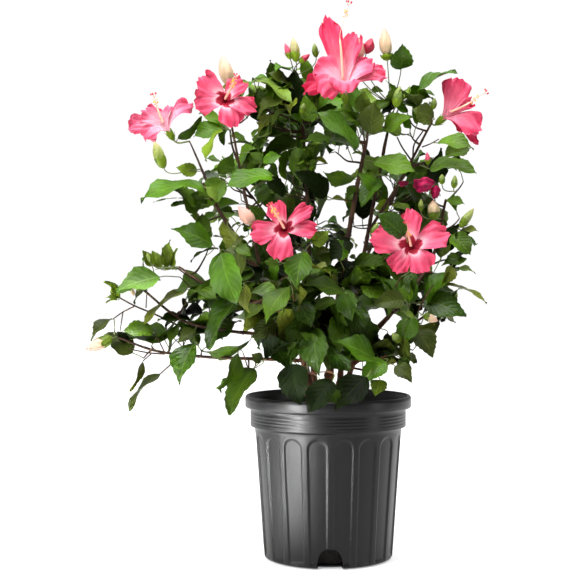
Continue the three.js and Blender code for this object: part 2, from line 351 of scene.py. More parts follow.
FLOOR_CORNERS = [(-9, -6, 0), (9, -6, 0), (9, 12, 0), (-9, 12, 0)]
FLOOR_DROP = 0.0012
FLOOR_GLOW_FROM, FLOOR_GLOW_TO = -0.25, 0.15
floor_finish, floor_shader, wire = new_finish("pale_floor", Roughness=0.9)
where = texture_place(wire)
feed(floor_shader, "Base Color", noise(wire, where, 9.0).mixed(grey(0.69), grey(0.72)))
# Painted light: the floor glows, though it is no lamp. It gives none at the front and much at the back, so it
# shows white behind the pot and fills the shadows there.
feed(floor_shader, "Emission Color", where.part(1).between(FLOOR_GLOW_FROM, FLOOR_GLOW_TO).mixed(grey(0), grey(0.85)))
floor_shader.inputs["Emission Strength"].default_value = 1.0
floor_mesh = bpy.data.meshes.new("floor")
floor_mesh.from_pydata(FLOOR_CORNERS, [], [(0, 1, 2, 3)])
floor_mesh.materials.append(floor_finish)
floor = bpy.data.objects.new("floor", floor_mesh)
floor.location.z = -FLOOR_DROP
bpy.context.scene.collection.objects.link(floor)

SKY_SEEN = 1.02
WALL_LIGHT, CEILING_LIGHT, EVEN_LIGHT = 0.36, 0.3, 0.12
world = bpy.data.worlds.new("pale_room")
world.use_nodes = True
bpy.context.scene.world = world
background = world.node_tree.nodes["Background"]
room = Wire(world.node_tree)
room_way = room.node("ShaderNodeTexCoord")
towards_right, towards_back, towards_up = (room_way.part(axis) for axis in range(3))
pale_walls = (towards_back - towards_right * 0.8).between(-0.75, 0.5)
room_light = pale_walls * WALL_LIGHT + towards_up.between(0.0, 0.9) * CEILING_LIGHT + EVEN_LIGHT
straight_at_room = room.node("ShaderNodeLightPath")
feed(background, "Strength", room_light + straight_at_room * (SKY_SEEN - room_light))
background.inputs["Color"].default_value = grey(1)
bpy.context.scene.view_settings.view_transform = "Standard"
print("floor, room and", len(LAMPS), "lamps")

# %% [markdown]
# ## The pot
# A thin-walled nursery pot is moulded in one piece: a body with eighteen sunk panels under round
# arches, a collar with four fine beads, a deep lip, and four notches at the foot that let water out.
# It could be cut from a cylinder with booleans, but the relief is so shallow that it is easier to
# work out how far each point of one grid stands from the axis.

# %% The pot's outline and relief, in millimetres
MM = 0.001
PANELS = 18
PANEL_PITCH = 2 * np.pi / PANELS
WALL = 3.0
RIB = 6.5
PANEL_SLOPE = 3.6
PANEL_DEPTH = 2.2
ARCH_TOP = 190.5
NOTCH_HALF = 19.6
NOTCH_TALL = 29.0
NOTCH_ROUND = 2.4
NOTCH_IN = 82.0
CORNER = 0.5 ** (1 / NOTCH_ROUND)
NOTCH_SPREAD = 12.0
NOTCH_FADE = 22.0
BASE_RADIUS = 98.6
WALL_LEAN = 13.9 / 200

UNDERSIDE = [(12, 1.2), (40, 1.2), (70, 1.2), (76, 0.6), (NOTCH_IN, 0), (86, 0), (91, 0), (95.4, 0)]
FOOT = [(97.0, 0.5), (98.0, 1.6), (98.6, 3.2)]
BODY_HEIGHTS = [5.5, 9, 13, 17, NOTCH_TALL * CORNER, 25, 28, 31, 35, 40, 48, 60, 75, 90, 105, 120, 135,
                148, 158, 164]
ARCH_HEIGHTS = list(np.arange(168, 194, 1.5))
BEADS = [204.6, 209.3, 214.0, 218.7]
BEAD_SHAPE = [(-1.5, 0), (-0.8, 0.13), (0, 0.22), (0.8, 0.13), (1.5, 0)]
COLLAR = [(112.6, 197), (113.6, 198.3), (117.0, 199.0), (118.6, 199.6), (119.1, 200.6), (118.9, 202.2)]
COLLAR += [(118.85 + rise, bead + up) for bead in BEADS for up, rise in BEAD_SHAPE]
COLLAR += [(118.9, 222.5), (118.9, 226.0)]
LIP = [(119.6, 227.2), (122.5, 227.8), (125.6, 228.0), (126.6, 228.8), (127.0, 230.4), (126.9, 235),
       (127.0, 240), (126.8, 243), (126.0, 245.0), (124.6, 246.0), (123.0, 245.9), (122.2, 245.0)]
LIP_INSIDE = [(226, 116.4), (229, 117.4), (239, 119.3), (240.2, 119.0), (241.4, 120.4), (245, 120.9)]
LINING_RADIUS = 116.2


def body_radius(height):
    """The plain leaning wall: the base's radius plus the lean times the height."""
    return BASE_RADIUS + WALL_LEAN * height


def smooth(x):
    """0 below 0, 1 above 1, and 3x² - 2x³ between."""
    x = np.clip(x, 0, 1)
    return x * x * (3 - 2 * x)


def panel_relief(angle, height):
    """How deep a point is sunk: its distance inside the arch outline, over the slope's width, smoothed,
    times the panel's depth. Below the arch's centre the outline is straight, above it a half circle."""
    in_panel = np.mod(angle, PANEL_PITCH) - PANEL_PITCH / 2
    radius = body_radius(height)
    half = (PANEL_PITCH * radius - RIB) / 2
    top_half = (PANEL_PITCH * body_radius(ARCH_TOP) - RIB) / 2
    centre = ARCH_TOP - top_half
    across = np.abs(in_panel * radius)
    above = np.hypot(across, height - centre)
    inside = np.where(height < centre, half - across, top_half - above)
    return PANEL_DEPTH * smooth(inside / PANEL_SLOPE) * smooth((height - 2) / 5)


# %% The pot's grid, with its notches
NOTCH_SHARE = .387
half_pitch = np.array([0, .03, .06, .083, .105, .127, .15, .172, .194, .215, .26, .32, NOTCH_SHARE, .45])
pitch_steps = np.concatenate([half_pitch, [0.5], 1 - half_pitch[:0:-1]])
notch_angle = NOTCH_HALF * CORNER / BASE_RADIUS
used_steps = np.where(np.isclose(pitch_steps, NOTCH_SHARE), notch_angle / PANEL_PITCH, pitch_steps)
used_steps = np.where(np.isclose(pitch_steps, 1 - NOTCH_SHARE), 1 - notch_angle / PANEL_PITCH, used_steps)
angles = (np.arange(PANELS)[:, None] + used_steps[None]).ravel() * PANEL_PITCH
body = [(body_radius(z), z) for z in BODY_HEIGHTS + ARCH_HEIGHTS]
outline = np.array(UNDERSIDE + FOOT + body + COLLAR + LIP)
ROWS, COLUMNS = len(outline), len(angles)
NOTCH_TOP_ROW = len(UNDERSIDE) + len(FOOT) + BODY_HEIGHTS.index(NOTCH_TALL * CORNER)
NOTCH_FOOT_ROW = UNDERSIDE.index((NOTCH_IN, 0))


def pot_skin():
    """Points of the outer skin: the outline carried round the axis, with the grid bent round each
    notch's rounded outline |u/a|^n + |z/b|^n = 1, less the relief of the panels."""
    radius = np.broadcast_to(outline[:, :1], (ROWS, COLUMNS))
    height = np.broadcast_to(outline[:, 1:], (ROWS, COLUMNS)).copy()
    quarter = np.pi / 2
    from_notch = np.mod(angles + quarter / 2, quarter) - quarter / 2
    u = from_notch[None] * np.where(radius < BASE_RADIUS, BASE_RADIUS, radius)
    side = NOTCH_HALF * (1 - np.clip(height / NOTCH_TALL, 0, CORNER) ** NOTCH_ROUND) ** (1 / NOTCH_ROUND)
    push = (side - NOTCH_HALF * CORNER) * (1 - smooth((np.abs(u) - NOTCH_HALF * CORNER) / NOTCH_SPREAD))
    push *= np.minimum(np.abs(u) / (NOTCH_HALF * CORNER), 1) * np.sign(u)
    crown = NOTCH_TALL * (1 - np.clip(np.abs(u) / NOTCH_HALF, 0, CORNER) ** NOTCH_ROUND) ** (1 / NOTCH_ROUND)
    top = NOTCH_TALL * CORNER
    fade = 1 - smooth((height - top) / NOTCH_FADE)
    lift = np.where(height >= top - 1e-6, (crown - top) * fade, 0) * (np.abs(u) <= NOTCH_HALF * CORNER + 1e-6)
    on_wall = np.arange(ROWS)[:, None] >= NOTCH_FOOT_ROW
    angle = angles[None] + np.where(on_wall, push, 0) / np.maximum(radius, BASE_RADIUS)
    height = height + np.where(on_wall, lift, 0)
    is_body = (np.arange(ROWS) >= len(UNDERSIDE)) & (np.arange(ROWS) < ROWS - len(COLLAR) - len(LIP))
    radius = radius - np.where(is_body[:, None], panel_relief(angle, height), 0)
    return radius, height, angle


def pot_lining(radius, height):
    """The inner skin: the outer one moved in by the wall, level with the floor below and the lip above."""
    lip = np.interp(outline[:, 1], *np.array(LIP_INSIDE).T)
    in_lip = np.arange(ROWS) >= ROWS - len(LIP)
    lining = np.where(in_lip[:, None], lip[:, None], np.minimum(radius - WALL, LINING_RADIUS))
    floor_rows = (np.arange(ROWS) <= NOTCH_FOOT_ROW + 2)[:, None]
    lining = np.where(floor_rows, radius * 0.995, lining)
    inner_height = np.maximum(height, WALL)
    inner_height = np.where(in_lip[:, None] & (radius < 126.5) & (height > 243), height - 0.4, inner_height)
    return lining, inner_height


def turned(radius, height, angle):
    """Points at a radius and height, turned about the axis from the front, in metres."""
    return np.stack(np.broadcast_arrays(radius * np.sin(angle), -radius * np.cos(angle), height), -1) * MM


skin_r, skin_z, skin_a = pot_skin()
lining_r, lining_z = pot_lining(skin_r, skin_z)
cell_row, cell_column = np.divmod(np.arange((ROWS - 1) * COLUMNS), COLUMNS)
cell_angle = (angles[cell_column] + np.append(angles, 2 * np.pi)[cell_column + 1]) / 2
off_notch = np.abs(np.mod(cell_angle + np.pi / 4, np.pi / 2) - np.pi / 4)
cut = (off_notch < notch_angle) & (cell_row >= NOTCH_FOOT_ROW) & (cell_row < NOTCH_TOP_ROW)
all_cells = grid_faces(ROWS, COLUMNS, round_columns=True)
skin_count = ROWS * COLUMNS
skin_faces = all_cells[~cut]
lining_faces = all_cells[~cut][:, ::-1] + skin_count
grid_cut = cut.reshape(ROWS - 1, COLUMNS)


def notch_walls():
    """Quads that join the two skins along each notch's edge: where a cut cell meets a kept one."""
    index = np.arange(skin_count).reshape(ROWS, COLUMNS)
    before = np.roll(grid_cut, 1, axis=1)
    r, c = np.nonzero(grid_cut != before)
    flip = grid_cut[r, c]
    a, b = index[r, c], index[r + 1, c]
    sides = np.stack([np.where(flip, b, a), np.where(flip, a, b)], 1)
    r, c = np.nonzero(grid_cut[1:] != grid_cut[:-1])
    flip = grid_cut[r, c]
    a, b = index[r + 1, c], index[r + 1, (c + 1) % COLUMNS]
    ends = np.stack([np.where(flip, b, a), np.where(flip, a, b)], 1)
    edges = np.concatenate([sides, ends])
    return np.stack([edges[:, 0], edges[:, 1], edges[:, 1] + skin_count, edges[:, 0] + skin_count], 1)


foot_ring = np.arange(COLUMNS)
foot_next = np.roll(foot_ring, -1)
top_ring, top_next = (ring + (ROWS - 1) * COLUMNS for ring in (foot_ring, foot_next))
lip_ring = np.stack([top_ring, top_next, top_next + skin_count, top_ring + skin_count], 1)
poles = np.array([[0, 0, UNDERSIDE[0][1] * MM], [0, 0, WALL * MM]])
pole = np.full(COLUMNS, 2 * skin_count)
underside_fan = np.stack([pole, foot_next, foot_ring], 1)
floor_fan = np.stack([pole + 1, foot_ring + skin_count, foot_next + skin_count], 1)
pot_points = np.concatenate([turned(skin_r, skin_z, skin_a).reshape(-1, 3),
                             turned(lining_r, lining_z, skin_a).reshape(-1, 3), poles])
pot_quads = np.concatenate([skin_faces, lining_faces, notch_walls(), lip_ring])
print(ROWS, "by", COLUMNS, "grid,", int(cut.sum()), "cells cut for the notches")

# %% [markdown]
# ## Moulded plastic
# The pot is black polypropylene with a satin skin: it is dark, but it shows the lamps as broad grey
# streaks. Dust and fine scuffs make the shine uneven. The finish therefore varies the roughness
# more than the colour, and adds a very faint grain to the surface.

# %% Pot finish and piece
pot_finish, pot_shader, wire = new_finish("black_pot_plastic", Specular_IOR_Level=0.31)
where = texture_place(wire)
streaks = noise(wire, texture_place(wire, scale=(60, 60, 6)), 1.0, detail=4)
dust = noise(wire, where, 26.0, detail=5, roughness=0.65).between(0.5, 0.8)
feed(pot_shader, "Base Color", (dust * 0.5 + streaks * 0.2).mixed(srgb(6, 6, 7), srgb(26, 26, 25)))
feed(pot_shader, "Roughness", dust * 0.10 + streaks * 0.10 + 0.30)
feed(pot_shader, "Normal", bump(wire, noise(wire, where, 900.0), 0.06, 0.0004))
pot = make_piece("nursery_pot", pot_points, [pot_quads, np.concatenate([underside_fan, floor_fan])],
                 pot_finish, "pot_plastic")
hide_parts("pot")

# %% [markdown]
# ## Potting soil
# The root ball fills the pot to a finger's width under the lip. Its top is a crumbly, uneven mix of
# dark peat with bark chips and a few white grains. One grid over radius and angle gives the lumpy
# surface and the sides, and small uneven chips lie on top.

# %% Soil
rng = np.random.default_rng(60814)
SOIL_TOP = 222.0


def waves(rng, count, low, high, *coordinates):
    """A smooth random field: the mean of `count` sine waves of random direction and phase."""
    total = 0
    for _ in range(count):
        pushes = rng.normal(size=len(coordinates))
        pushes *= rng.uniform(low, high) / np.linalg.norm(pushes)
        total = total + np.sin(sum(p * c for p, c in zip(pushes, coordinates)) + rng.uniform(0, 2 * np.pi))
    return total / count ** 0.5


SOIL_SIDES = 144
TOP_RINGS = 56
soil_r = np.concatenate([np.linspace(2, 115.4, TOP_RINGS), [115.7, 114.5, 107.2, 106, 94, 79, 78.6, 40, 4]])
soil_z = np.concatenate([np.full(TOP_RINGS, SOIL_TOP), [218, 206, 196, 186, 36.5, 35.5, 3.6, 3.4, 3.4]])
soil_skin = turned(soil_r[:, None], soil_z[:, None], full_turn(SOIL_SIDES)[None]) / MM
crumble = waves(rng, 9, 0.05, 0.16, soil_skin[..., 0], soil_skin[..., 1]) * 1.3
crumble += waves(rng, 12, 0.3, 0.9, soil_skin[..., 0], soil_skin[..., 1]) * 0.7
soil_skin[..., 2] += np.where((np.arange(len(soil_r)) < TOP_RINGS)[:, None], np.abs(crumble) * 1.6 - 2.2, 0)
soil_points = np.concatenate([soil_skin.reshape(-1, 3), [[0, 0, SOIL_TOP - 1], [0, 0, 3.4]]]) * MM
soil_faces = [f[:, ::-1] for f in closed_faces(len(soil_r), SOIL_SIDES)]

soil_finish, soil_shader, wire = new_finish("damp_peat", Roughness=0.92)
where = texture_place(wire)
crumbs = noise(wire, where, 260.0, detail=6, roughness=0.7)
on_top = where.part(2).between(0.21, 0.215)
grains = noise(wire, where, 420.0, detail=0).between(0.74, 0.78) * on_top
# Painted shade: the root ball's sides, seen only through the notches inside the pot, get little of the
# lighter peat.
peat_with_painted_side_shade = (crumbs.between(0.3, 0.75) * (on_top * 0.7 + 0.3)).mixed(srgb(14, 11, 9), srgb(66, 50, 38))
feed(soil_shader, "Base Color", grains.mixed(peat_with_painted_side_shade, srgb(176, 168, 152)))
feed(soil_shader, "Normal", bump(wire, crumbs, 0.9, 0.003))
soil = make_piece("root_ball_of_soil", soil_points, soil_faces, soil_finish, "potting_soil")
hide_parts("potting_soil")

# %% Bark chips on the soil
CHIPS = 420


def round_lump(rows, columns):
    """A unit ball as a grid of rows and columns plus its two poles: points, then faces that face out."""
    down = np.linspace(0, np.pi, rows + 2)[1:-1, None]
    turn = full_turn(columns)
    parts = (np.sin(down) * np.cos(turn), np.sin(down) * np.sin(turn), np.cos(down))
    skin = np.stack(np.broadcast_arrays(*parts), -1)
    points = np.concatenate([skin.reshape(-1, 3), [[0, 0, 1], [0, 0, -1]]])
    return points, [f[:, ::-1] for f in closed_faces(rows, columns)]


chip_ball, ball_faces = round_lump(3, 6)
spot_r = 112 * np.sqrt(rng.uniform(0, 1, CHIPS))
spot_a = rng.uniform(0, 2 * np.pi, CHIPS)
chips = chip_ball[None] * rng.uniform(0.75, 1.2, (CHIPS, len(chip_ball), 1))
chips *= (rng.uniform(0.5, 1, (CHIPS, 1)) * np.array([[5.0, 2.6, 1.3]]))[:, None]
chip_turn = rng.uniform(0, np.pi, CHIPS)[:, None]
chips = np.stack([chips[..., 0] * np.cos(chip_turn) - chips[..., 1] * np.sin(chip_turn),
                  chips[..., 0] * np.sin(chip_turn) + chips[..., 1] * np.cos(chip_turn), chips[..., 2]], -1)
chips = chips * MM + turned(spot_r, SOIL_TOP + 0.3, spot_a)[:, None]
chip_faces = [repeated(f, CHIPS, len(chip_ball)) for f in ball_faces]
chip_finish, chip_shader, wire = new_finish("bark_chips", Roughness=0.8)
grain = noise(wire, texture_place(wire, scale=(1, 4, 1)), 500.0, detail=3)
feed(chip_shader, "Base Color", grain.mixed(srgb(40, 28, 20), srgb(110, 82, 58)))
make_piece("bark_chips", chips, chip_faces, chip_finish, "potting_soil")

# %% [markdown]
# ## Stems and boughs
# A hibiscus stem is smooth when young and greenish brown, and roughens low down, where it is grey
# brown with fine cracks. Old leaf scars leave a slight swelling every few centimetres. Each limb is
# a round section carried along its centre line: the radius falls from foot to tip, flares at the
# soil, and carries the scars and the cracks as relief.

# %% Curves and tubes
def smooth_path(points, count):
    """`count` points on a smooth curve through points: cubic pieces whose slope at each point is the
    step between its two neighbours over their spacing, with the spacing measured as root distance."""
    points = np.asarray(points, float)
    gaps = np.sqrt(np.linalg.norm(np.diff(points, axis=0), axis=1))
    knots = np.concatenate([[0], np.cumsum(gaps)])
    slopes = np.gradient(points, knots, axis=0)
    at = np.linspace(0, knots[-1], count)
    k = np.clip(np.searchsorted(knots, at, side="right") - 1, 0, len(points) - 2)
    width = (knots[k + 1] - knots[k])[:, None]
    t = (at[:, None] - knots[k][:, None]) / width
    return ((2 * t**3 - 3 * t**2 + 1) * points[k] + (t**3 - 2 * t**2 + t) * width * slopes[k]
            + (3 * t**2 - 2 * t**3) * points[k + 1] + (t**3 - t**2) * width * slopes[k + 1])


def arc_lengths(paths):
    """How far along each path its points are."""
    steps = np.linalg.norm(np.diff(paths, axis=-2), axis=-1)
    return np.concatenate([np.zeros_like(steps[..., :1]), np.cumsum(steps, axis=-1)], axis=-1)


def path_frames(paths):
    """Two directions across each path, square to it and to each other. The first starts from the world
    axis that the path's chord leans on least."""
    along = unit(np.gradient(paths, axis=-2))
    chord = np.abs(unit(paths[..., -1, :] - paths[..., 0, :]))
    guide = np.eye(3)[np.argmin(chord, axis=-1)][..., None, :]
    first = unit(np.cross(along, np.broadcast_to(guide, along.shape)))
    return first, np.cross(along, first)


def tubes(paths, radii, sides):
    """Round tubes along many paths at once: centre + radius * (cos a * first + sin a * second).
    Returns points (path, step, side) and the faces, whose two ends are closed."""
    first, second = path_frames(paths)
    ring = spokes(full_turn(sides), first[..., None, :], second[..., None, :])
    points = paths[..., None, :] + radii[..., None, None] * ring
    count, steps = paths.shape[0], paths.shape[1]
    walls = repeated(grid_faces(steps, sides, round_columns=True), count, steps * sides)
    foot = repeated(np.arange(sides)[None, ::-1], count, steps * sides)
    tip = repeated(np.arange(sides)[None] + (steps - 1) * sides, count, steps * sides)
    return points, [walls, np.concatenate([foot, tip])]


# %% The limbs' centre lines
SOIL_LEVEL = 222.4
# Each limb in millimetres: the points of its centre line (two numbers mean at soil level), its radius at
# the foot and at the tip, and for a stem the flare at the soil.
STEMS = {
    "stem_centre": ([(-6, 0), (7, -5, 315), (19, -15, 417), (38, -15, 532), (57, -20, 632)], 6.5, 2.6, 4),
    "stem_left": ([(-24, -15), (-43, -30, 319), (-94, -45, 416), (-150, -50, 502), (-189, -45, 567)],
                  6, 2.4, 4),
    "stem_back_left": ([(-16, 26), (-25, 38, 330), (-28, 45, 451), (-34, 38, 600), (-40, 30, 690)],
                       4.6, 2, 3),
    "stem_right": ([(12, 22), (31, 14, 345), (53, 10, 447), (72, 15, 546), (95, 22, 660)], 4.6, 2, 3),
    "stem_right_outer": ([(20, -14), (40, -22, 300), (104, -25, 382), (156, -10, 449), (181, 0, 545)],
                         4.2, 2, 3),
}
BOUGHS = {
    "bough_right_top": ([(63, 11, 497), (109, 0, 571), (159, -5, 664)], 2.6, 1.7),
    "bough_low_left": ([(-36, -27, 300), (-90, -45, 303), (-186, -50, 307), (-262, -42, 316),
                        (-322, -40, 338)], 2.8, 1.6),
    "bough_mid_left": ([(-52, -34, 338), (-151, -60, 346), (-215, -58, 360), (-280, -44, 408)], 3, 1.6),
    "bough_left": ([(-76, -41, 384), (-154, -75, 399), (-223, -70, 441)], 2.8, 1.6),
    "bough_bloom_far_left": ([(-170, -47, 536), (-196, -40, 600), (-210, -31, 631)], 2.4, 1.1),
    "bough_bloom_left": ([(-100, -45, 425), (-124, -45, 540), (-146, -60, 655)], 2.8, 1.6),
    "bough_low_right": ([(36, -22, 292), (90, -34, 334), (133, -36, 360), (158, -34, 378)], 2.6, 1.6),
    "bough_back_left": ([(-28, 44, 430), (-70, 90, 490), (-120, 125, 560)], 2.8, 1.6),
    "bough_back_right": ([(52, 12, 440), (82, 70, 500), (112, 120, 566)], 2.8, 1.6),
    "bough_bloom_mid_right": ([(52, 9, 444), (82, -56, 452), (104, -116, 470)], 2.4, 1.5),
}
LIMB_SIDES = 16
FLARE_FADE = 22.0
RING_GAP = 2.6
SCAR_GAP = 27.0
SCAR_WIDTH = 2.4
SCAR_TURN = 2.4
OLD_BARK = 160.0


def limb_surface(path, foot, tip, flare, rng):
    """A limb's skin. Radius = foot to tip along the length, plus a flare that dies away over 22 mm,
    plus a ring at each leaf scar, strongest on one side, plus fine cracks that deepen towards the foot."""
    run = arc_lengths(path)
    share = run / run[-1]
    turn = full_turn(LIMB_SIDES)
    radius = (foot + (tip - foot) * share)[:, None] * np.ones(LIMB_SIDES)
    lobes = 1 + 0.35 * np.cos(3 * turn + rng.uniform(0, 6)) + 0.2 * np.cos(5 * turn + rng.uniform(0, 6))
    radius = radius + flare * np.exp(-run / FLARE_FADE)[:, None] * lobes
    scar = np.round(run / SCAR_GAP)
    near = np.exp(-(((run - scar * SCAR_GAP) / SCAR_WIDTH) ** 2))[:, None]
    side = 0.5 + 0.5 * np.cos(turn - scar[:, None] * SCAR_TURN)
    radius = radius * (1 + near * (0.06 + 0.2 * side))
    low = np.exp(-run / OLD_BARK)[:, None]
    cracks = waves(rng, 8, 0.4, 1.6, run[:, None] * 0.55, 3 * np.cos(turn)[None], 3 * np.sin(turn)[None])
    radius = radius * (1 + (0.03 + 0.07 * low) * cracks)
    first, second = path_frames(path)
    return path[:, None] + radius[..., None] * spokes(turn, first[:, None], second[:, None])


bark_finish, bark_shader, wire = new_finish("hibiscus_bark", Specular_IOR_Level=0.2)
where = texture_place(wire)
flecks = noise(wire, texture_place(wire, scale=(1, 1, 0.35)), 420.0, detail=5, roughness=0.7)
patches = noise(wire, where, 45.0, detail=3).between(0.35, 0.7)
young = patches.mixed(srgb(48, 29, 19), srgb(72, 50, 32))
old = patches.mixed(srgb(84, 48, 30), srgb(116, 76, 52))
woody = (where.part(2).between(0.48, 0.30) * abs(where.part(0)).between(0.13, 0.06)).mixed(young, old)
feed(bark_shader, "Base Color", (flecks.between(0.5, 0.75) * 0.6).mixed(woody, srgb(38, 27, 20)))
feed(bark_shader, "Roughness", flecks * 0.3 + 0.5)
feed(bark_shader, "Normal", bump(wire, flecks, 0.6, 0.0012))

limb_paths = {}
for name, (points, foot, tip, *flare) in (STEMS | BOUGHS).items():
    points = [(*p, SOIL_LEVEL) if len(p) == 2 else p for p in points]
    rough = smooth_path(points, 60)
    path = smooth_path(points, max(8, int(arc_lengths(rough)[-1] / RING_GAP)))
    skin = limb_surface(path, foot, tip, flare[0] if flare else 0, rng) * MM
    rings = len(path)
    ends = [np.arange(LIMB_SIDES)[None, ::-1], np.arange(LIMB_SIDES)[None] + (rings - 1) * LIMB_SIDES]
    limb_faces = [grid_faces(rings, LIMB_SIDES, round_columns=True), np.concatenate(ends)]
    limb = make_piece("bark_" + name, skin, limb_faces, bark_finish, "bark")
    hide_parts(name)
    limb_paths[name] = path * MM

# %% [markdown]
# ## Where leaves may be
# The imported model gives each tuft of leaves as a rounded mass. A leaf belongs inside one of them.
# The crown is airy: between the tufts there are gaps through which the sky shows right across, and
# they matter as much as the leaves. They are listed as round windows of the front view, each with
# its column, row and radius.

# %% Tufts, gaps and a seeded list of shoots
def centre_and_half(name):
    """A mass's centre and half its size, in metres."""
    low, high = (np.array(c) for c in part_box(name))
    return (low + high) / 2, (high - low) / 2


TUFTS = [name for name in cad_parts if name.startswith("foliage_")]
tuft_at, tuft_half = (np.array(v) for v in zip(*[centre_and_half(n) for n in TUFTS]))
in_front = np.array([not name.startswith("foliage_back_") for name in TUFTS])
GAPS = np.array([
    (340, 165, 14), (330, 208, 14), (240, 130, 8), (215, 152, 8), (240, 155, 8), (230, 195, 12),
    (250, 200, 8), (318, 133, 7), (405, 150, 14), (447, 190, 8), (376, 150, 9), (338, 190, 6),
    (388, 188, 10), (362, 233, 6), (357, 258, 8), (345, 283, 6), (315, 247, 6), (391, 282, 8),
    (205, 268, 10), (222, 230, 6), (240, 240, 6), (170, 283, 8), (160, 295, 8), (268, 275, 5),
    (235, 322, 5), (262, 322, 4), (250, 345, 6), (258, 378, 14), (215, 380, 8), (297, 357, 5),
    (283, 362, 5), (335, 365, 5), (352, 370, 6), (360, 365, 5), (388, 345, 6), (382, 318, 8),
    (420, 312, 5), (435, 270, 6), (435, 285, 5), (395, 382, 8), (474, 284, 9), (458, 280, 5),
    (446, 332, 6), (250, 399, 10), (398, 40, 7), (168, 240, 8), (165, 209, 6), (180, 216, 7),
    (187, 262, 7), (186, 280, 6), (389, 331, 8), (134, 251, 9), (441, 208, 6)], float)


def tuft_reach(points):
    """For each point and tuft, how far out the point is as a share of the tuft's size: 1 is its skin."""
    return np.linalg.norm((points[..., None, :] - tuft_at) / tuft_half, axis=-1)


def in_gap(points, margin=0.0):
    """True for points that show inside one of the gaps."""
    column, row = shown_at(points)
    away = np.hypot(column[..., None] - GAPS[:, 0], row[..., None] - GAPS[:, 1])
    return (away < GAPS[:, 2] + margin).any(-1)


def front_depth(columns, rows):
    """The depth of the foremost tuft's rounded front where it covers those places of the front view, or
    of the nearest tuft's middle where none does. The tufts at the back don't count."""
    at, half = tuft_at[in_front], tuft_half[in_front]
    spots = place(columns[:, None], rows[:, None], at[:, 1])
    across = np.hypot((spots[..., 0] - at[:, 0]) / half[:, 0], (spots[..., 2] - at[:, 2]) / half[:, 2])
    depth = at[:, 1] - 0.75 * half[:, 1] * np.sqrt(np.clip(1 - across**2, 0, 1))
    nearest = at[across.argmin(1), 1]
    return np.where(across.min(1) < 1, np.where(across < 1, depth, 9).min(1), nearest)


def bezier_weights(t):
    """The weights of a cubic curve's four controls: (1-t)³, 3t(1-t)², 3t²(1-t) and t³."""
    return np.stack([(1 - t)**3, 3 * t * (1 - t)**2, 3 * t**2 * (1 - t), t**3], -1)


def bezier(controls, count, start=0.0, stop=1.0):
    """Points of cubic curves with controls (n, 4, 3) from t = start to stop, which may differ by curve."""
    start, stop = (np.broadcast_to(x, len(controls))[:, None] for x in (start, stop))
    return bezier_weights(start + (stop - start) * np.linspace(0, 1, count)) @ controls


SHOOT_STEPS = 14
CARRIES_FROM = 0.285
skeleton = np.concatenate([path[path[:, 2] > CARRIES_FROM] for path in limb_paths.values()])
shoot_targets = []
for at, half in zip(tuft_at, tuft_half):
    volume = np.prod(half * 1000) / 1e5
    count = int(np.clip(round(2 + volume * 2.4), 3, 11))
    aim = unit(rng.normal(size=(count, 3)) + [0, 0.35, 0.1])
    shoot_targets.append(at + aim * half * rng.uniform(0.3, 0.85, (count, 1)))
shoot_targets = np.concatenate(shoot_targets)
reach = np.linalg.norm(skeleton[None] - shoot_targets[:, None], axis=-1)
reach += 0.7 * np.maximum(skeleton[None, :, 2] - shoot_targets[:, None, 2] + 0.02, 0)
reach += rng.uniform(0, 0.02, reach.shape)
shoot_feet = skeleton[reach.argmin(1)]
shoot_way = shoot_targets - shoot_feet
shoot_controls = np.stack([shoot_feet, shoot_feet + shoot_way * [1, 1, 0.25] * 0.35,
                           shoot_targets - shoot_way * [0.2, 0.2, 0.45], shoot_targets], 1)
shoots = bezier(shoot_controls, SHOOT_STEPS)
shoots += np.linspace(0, 1, SHOOT_STEPS)[:, None] ** 0.5 * np.stack(
    [0.003 * waves(rng, 5, 60, 200, shoots[..., 0], shoots[..., 1], shoots[..., 2]) for _ in range(3)], -1)
print(len(TUFTS), "tufts,", len(GAPS), "gaps,", len(shoots), "shoots")

# %% [markdown]
# ## One leaf
# A hibiscus leaf is an oval with a drawn-out tip and coarse teeth in its outer half. It is glossy,
# folded a little along its midrib and arched downwards. One small grid of five points across and
# fourteen along carries all of that, so that hundreds of leaves stay light: the outline gives the
# half width, the teeth are every second row of the edge, and fold, arch and waves lift the rest.

# %% The leaf grid
ACROSS = np.array([-1, -0.5, 0, 0.5, 1])
ALONG = np.array([0, .05, .14, .25, .36, .45, .52, .6, .67, .74, .81, .88, .94, 1])
NATURAL_WIDTH = 0.62
TEETH_FROM, TEETH_TO = 0.3, 0.97
TOOTH_IN, TOOTH_OUT = 0.09, 0.014


def leaf_points(base, towards, facing, length, width, arch, fold, wave, teeth=1.0):
    """Points of many leaves at once. Across: half width w(v) = W/2 (1.02 sin(pi v^0.76))^(0.72 + 0.5 v),
    with in-rows of the toothed part drawn in. Out of plane: an arch 4v(1-v), a V fold and edge waves."""
    towards = unit(towards)
    side = unit(np.cross(towards, facing))
    up = np.cross(side, towards)
    u, v = ACROSS[None, :], ALONG[:, None]
    shape = np.maximum(np.clip(1.02 * np.sin(np.pi * v**0.76), 0, None) ** (0.72 + 0.5 * v), 0.02)
    even_row = (np.arange(len(ALONG)) % 2 == 0)[:, None]
    toothed = (np.abs(u) == 1) & (v > TEETH_FROM) & (v < TEETH_TO)
    drawn_in = np.where(even_row & toothed, 1 - TOOTH_IN * teeth, 1.0)
    drawn_on = np.where(~even_row & toothed, TOOTH_OUT * teeth, 0)
    numbers = (length, width, arch, fold, wave)
    length, width, arch, fold, wave = (np.asarray(x)[:, None, None] for x in numbers)
    x = u * shape * drawn_in * width / 2
    y = (v + drawn_on) * length
    phase = np.arange(len(base))[:, None, None] * 2.1
    z = arch * length * 4 * v * (1 - v) + fold * np.abs(x)
    z = z + wave * width * 0.25 * np.abs(u)**2 * np.sin(9 * v + phase + 1.6 * u)
    y = y - arch * length * 0.6 * v**3
    return base[:, None, None] + (x[..., None] * side[:, None, None] + y[..., None] * towards[:, None, None]
                                  + z[..., None] * up[:, None, None])


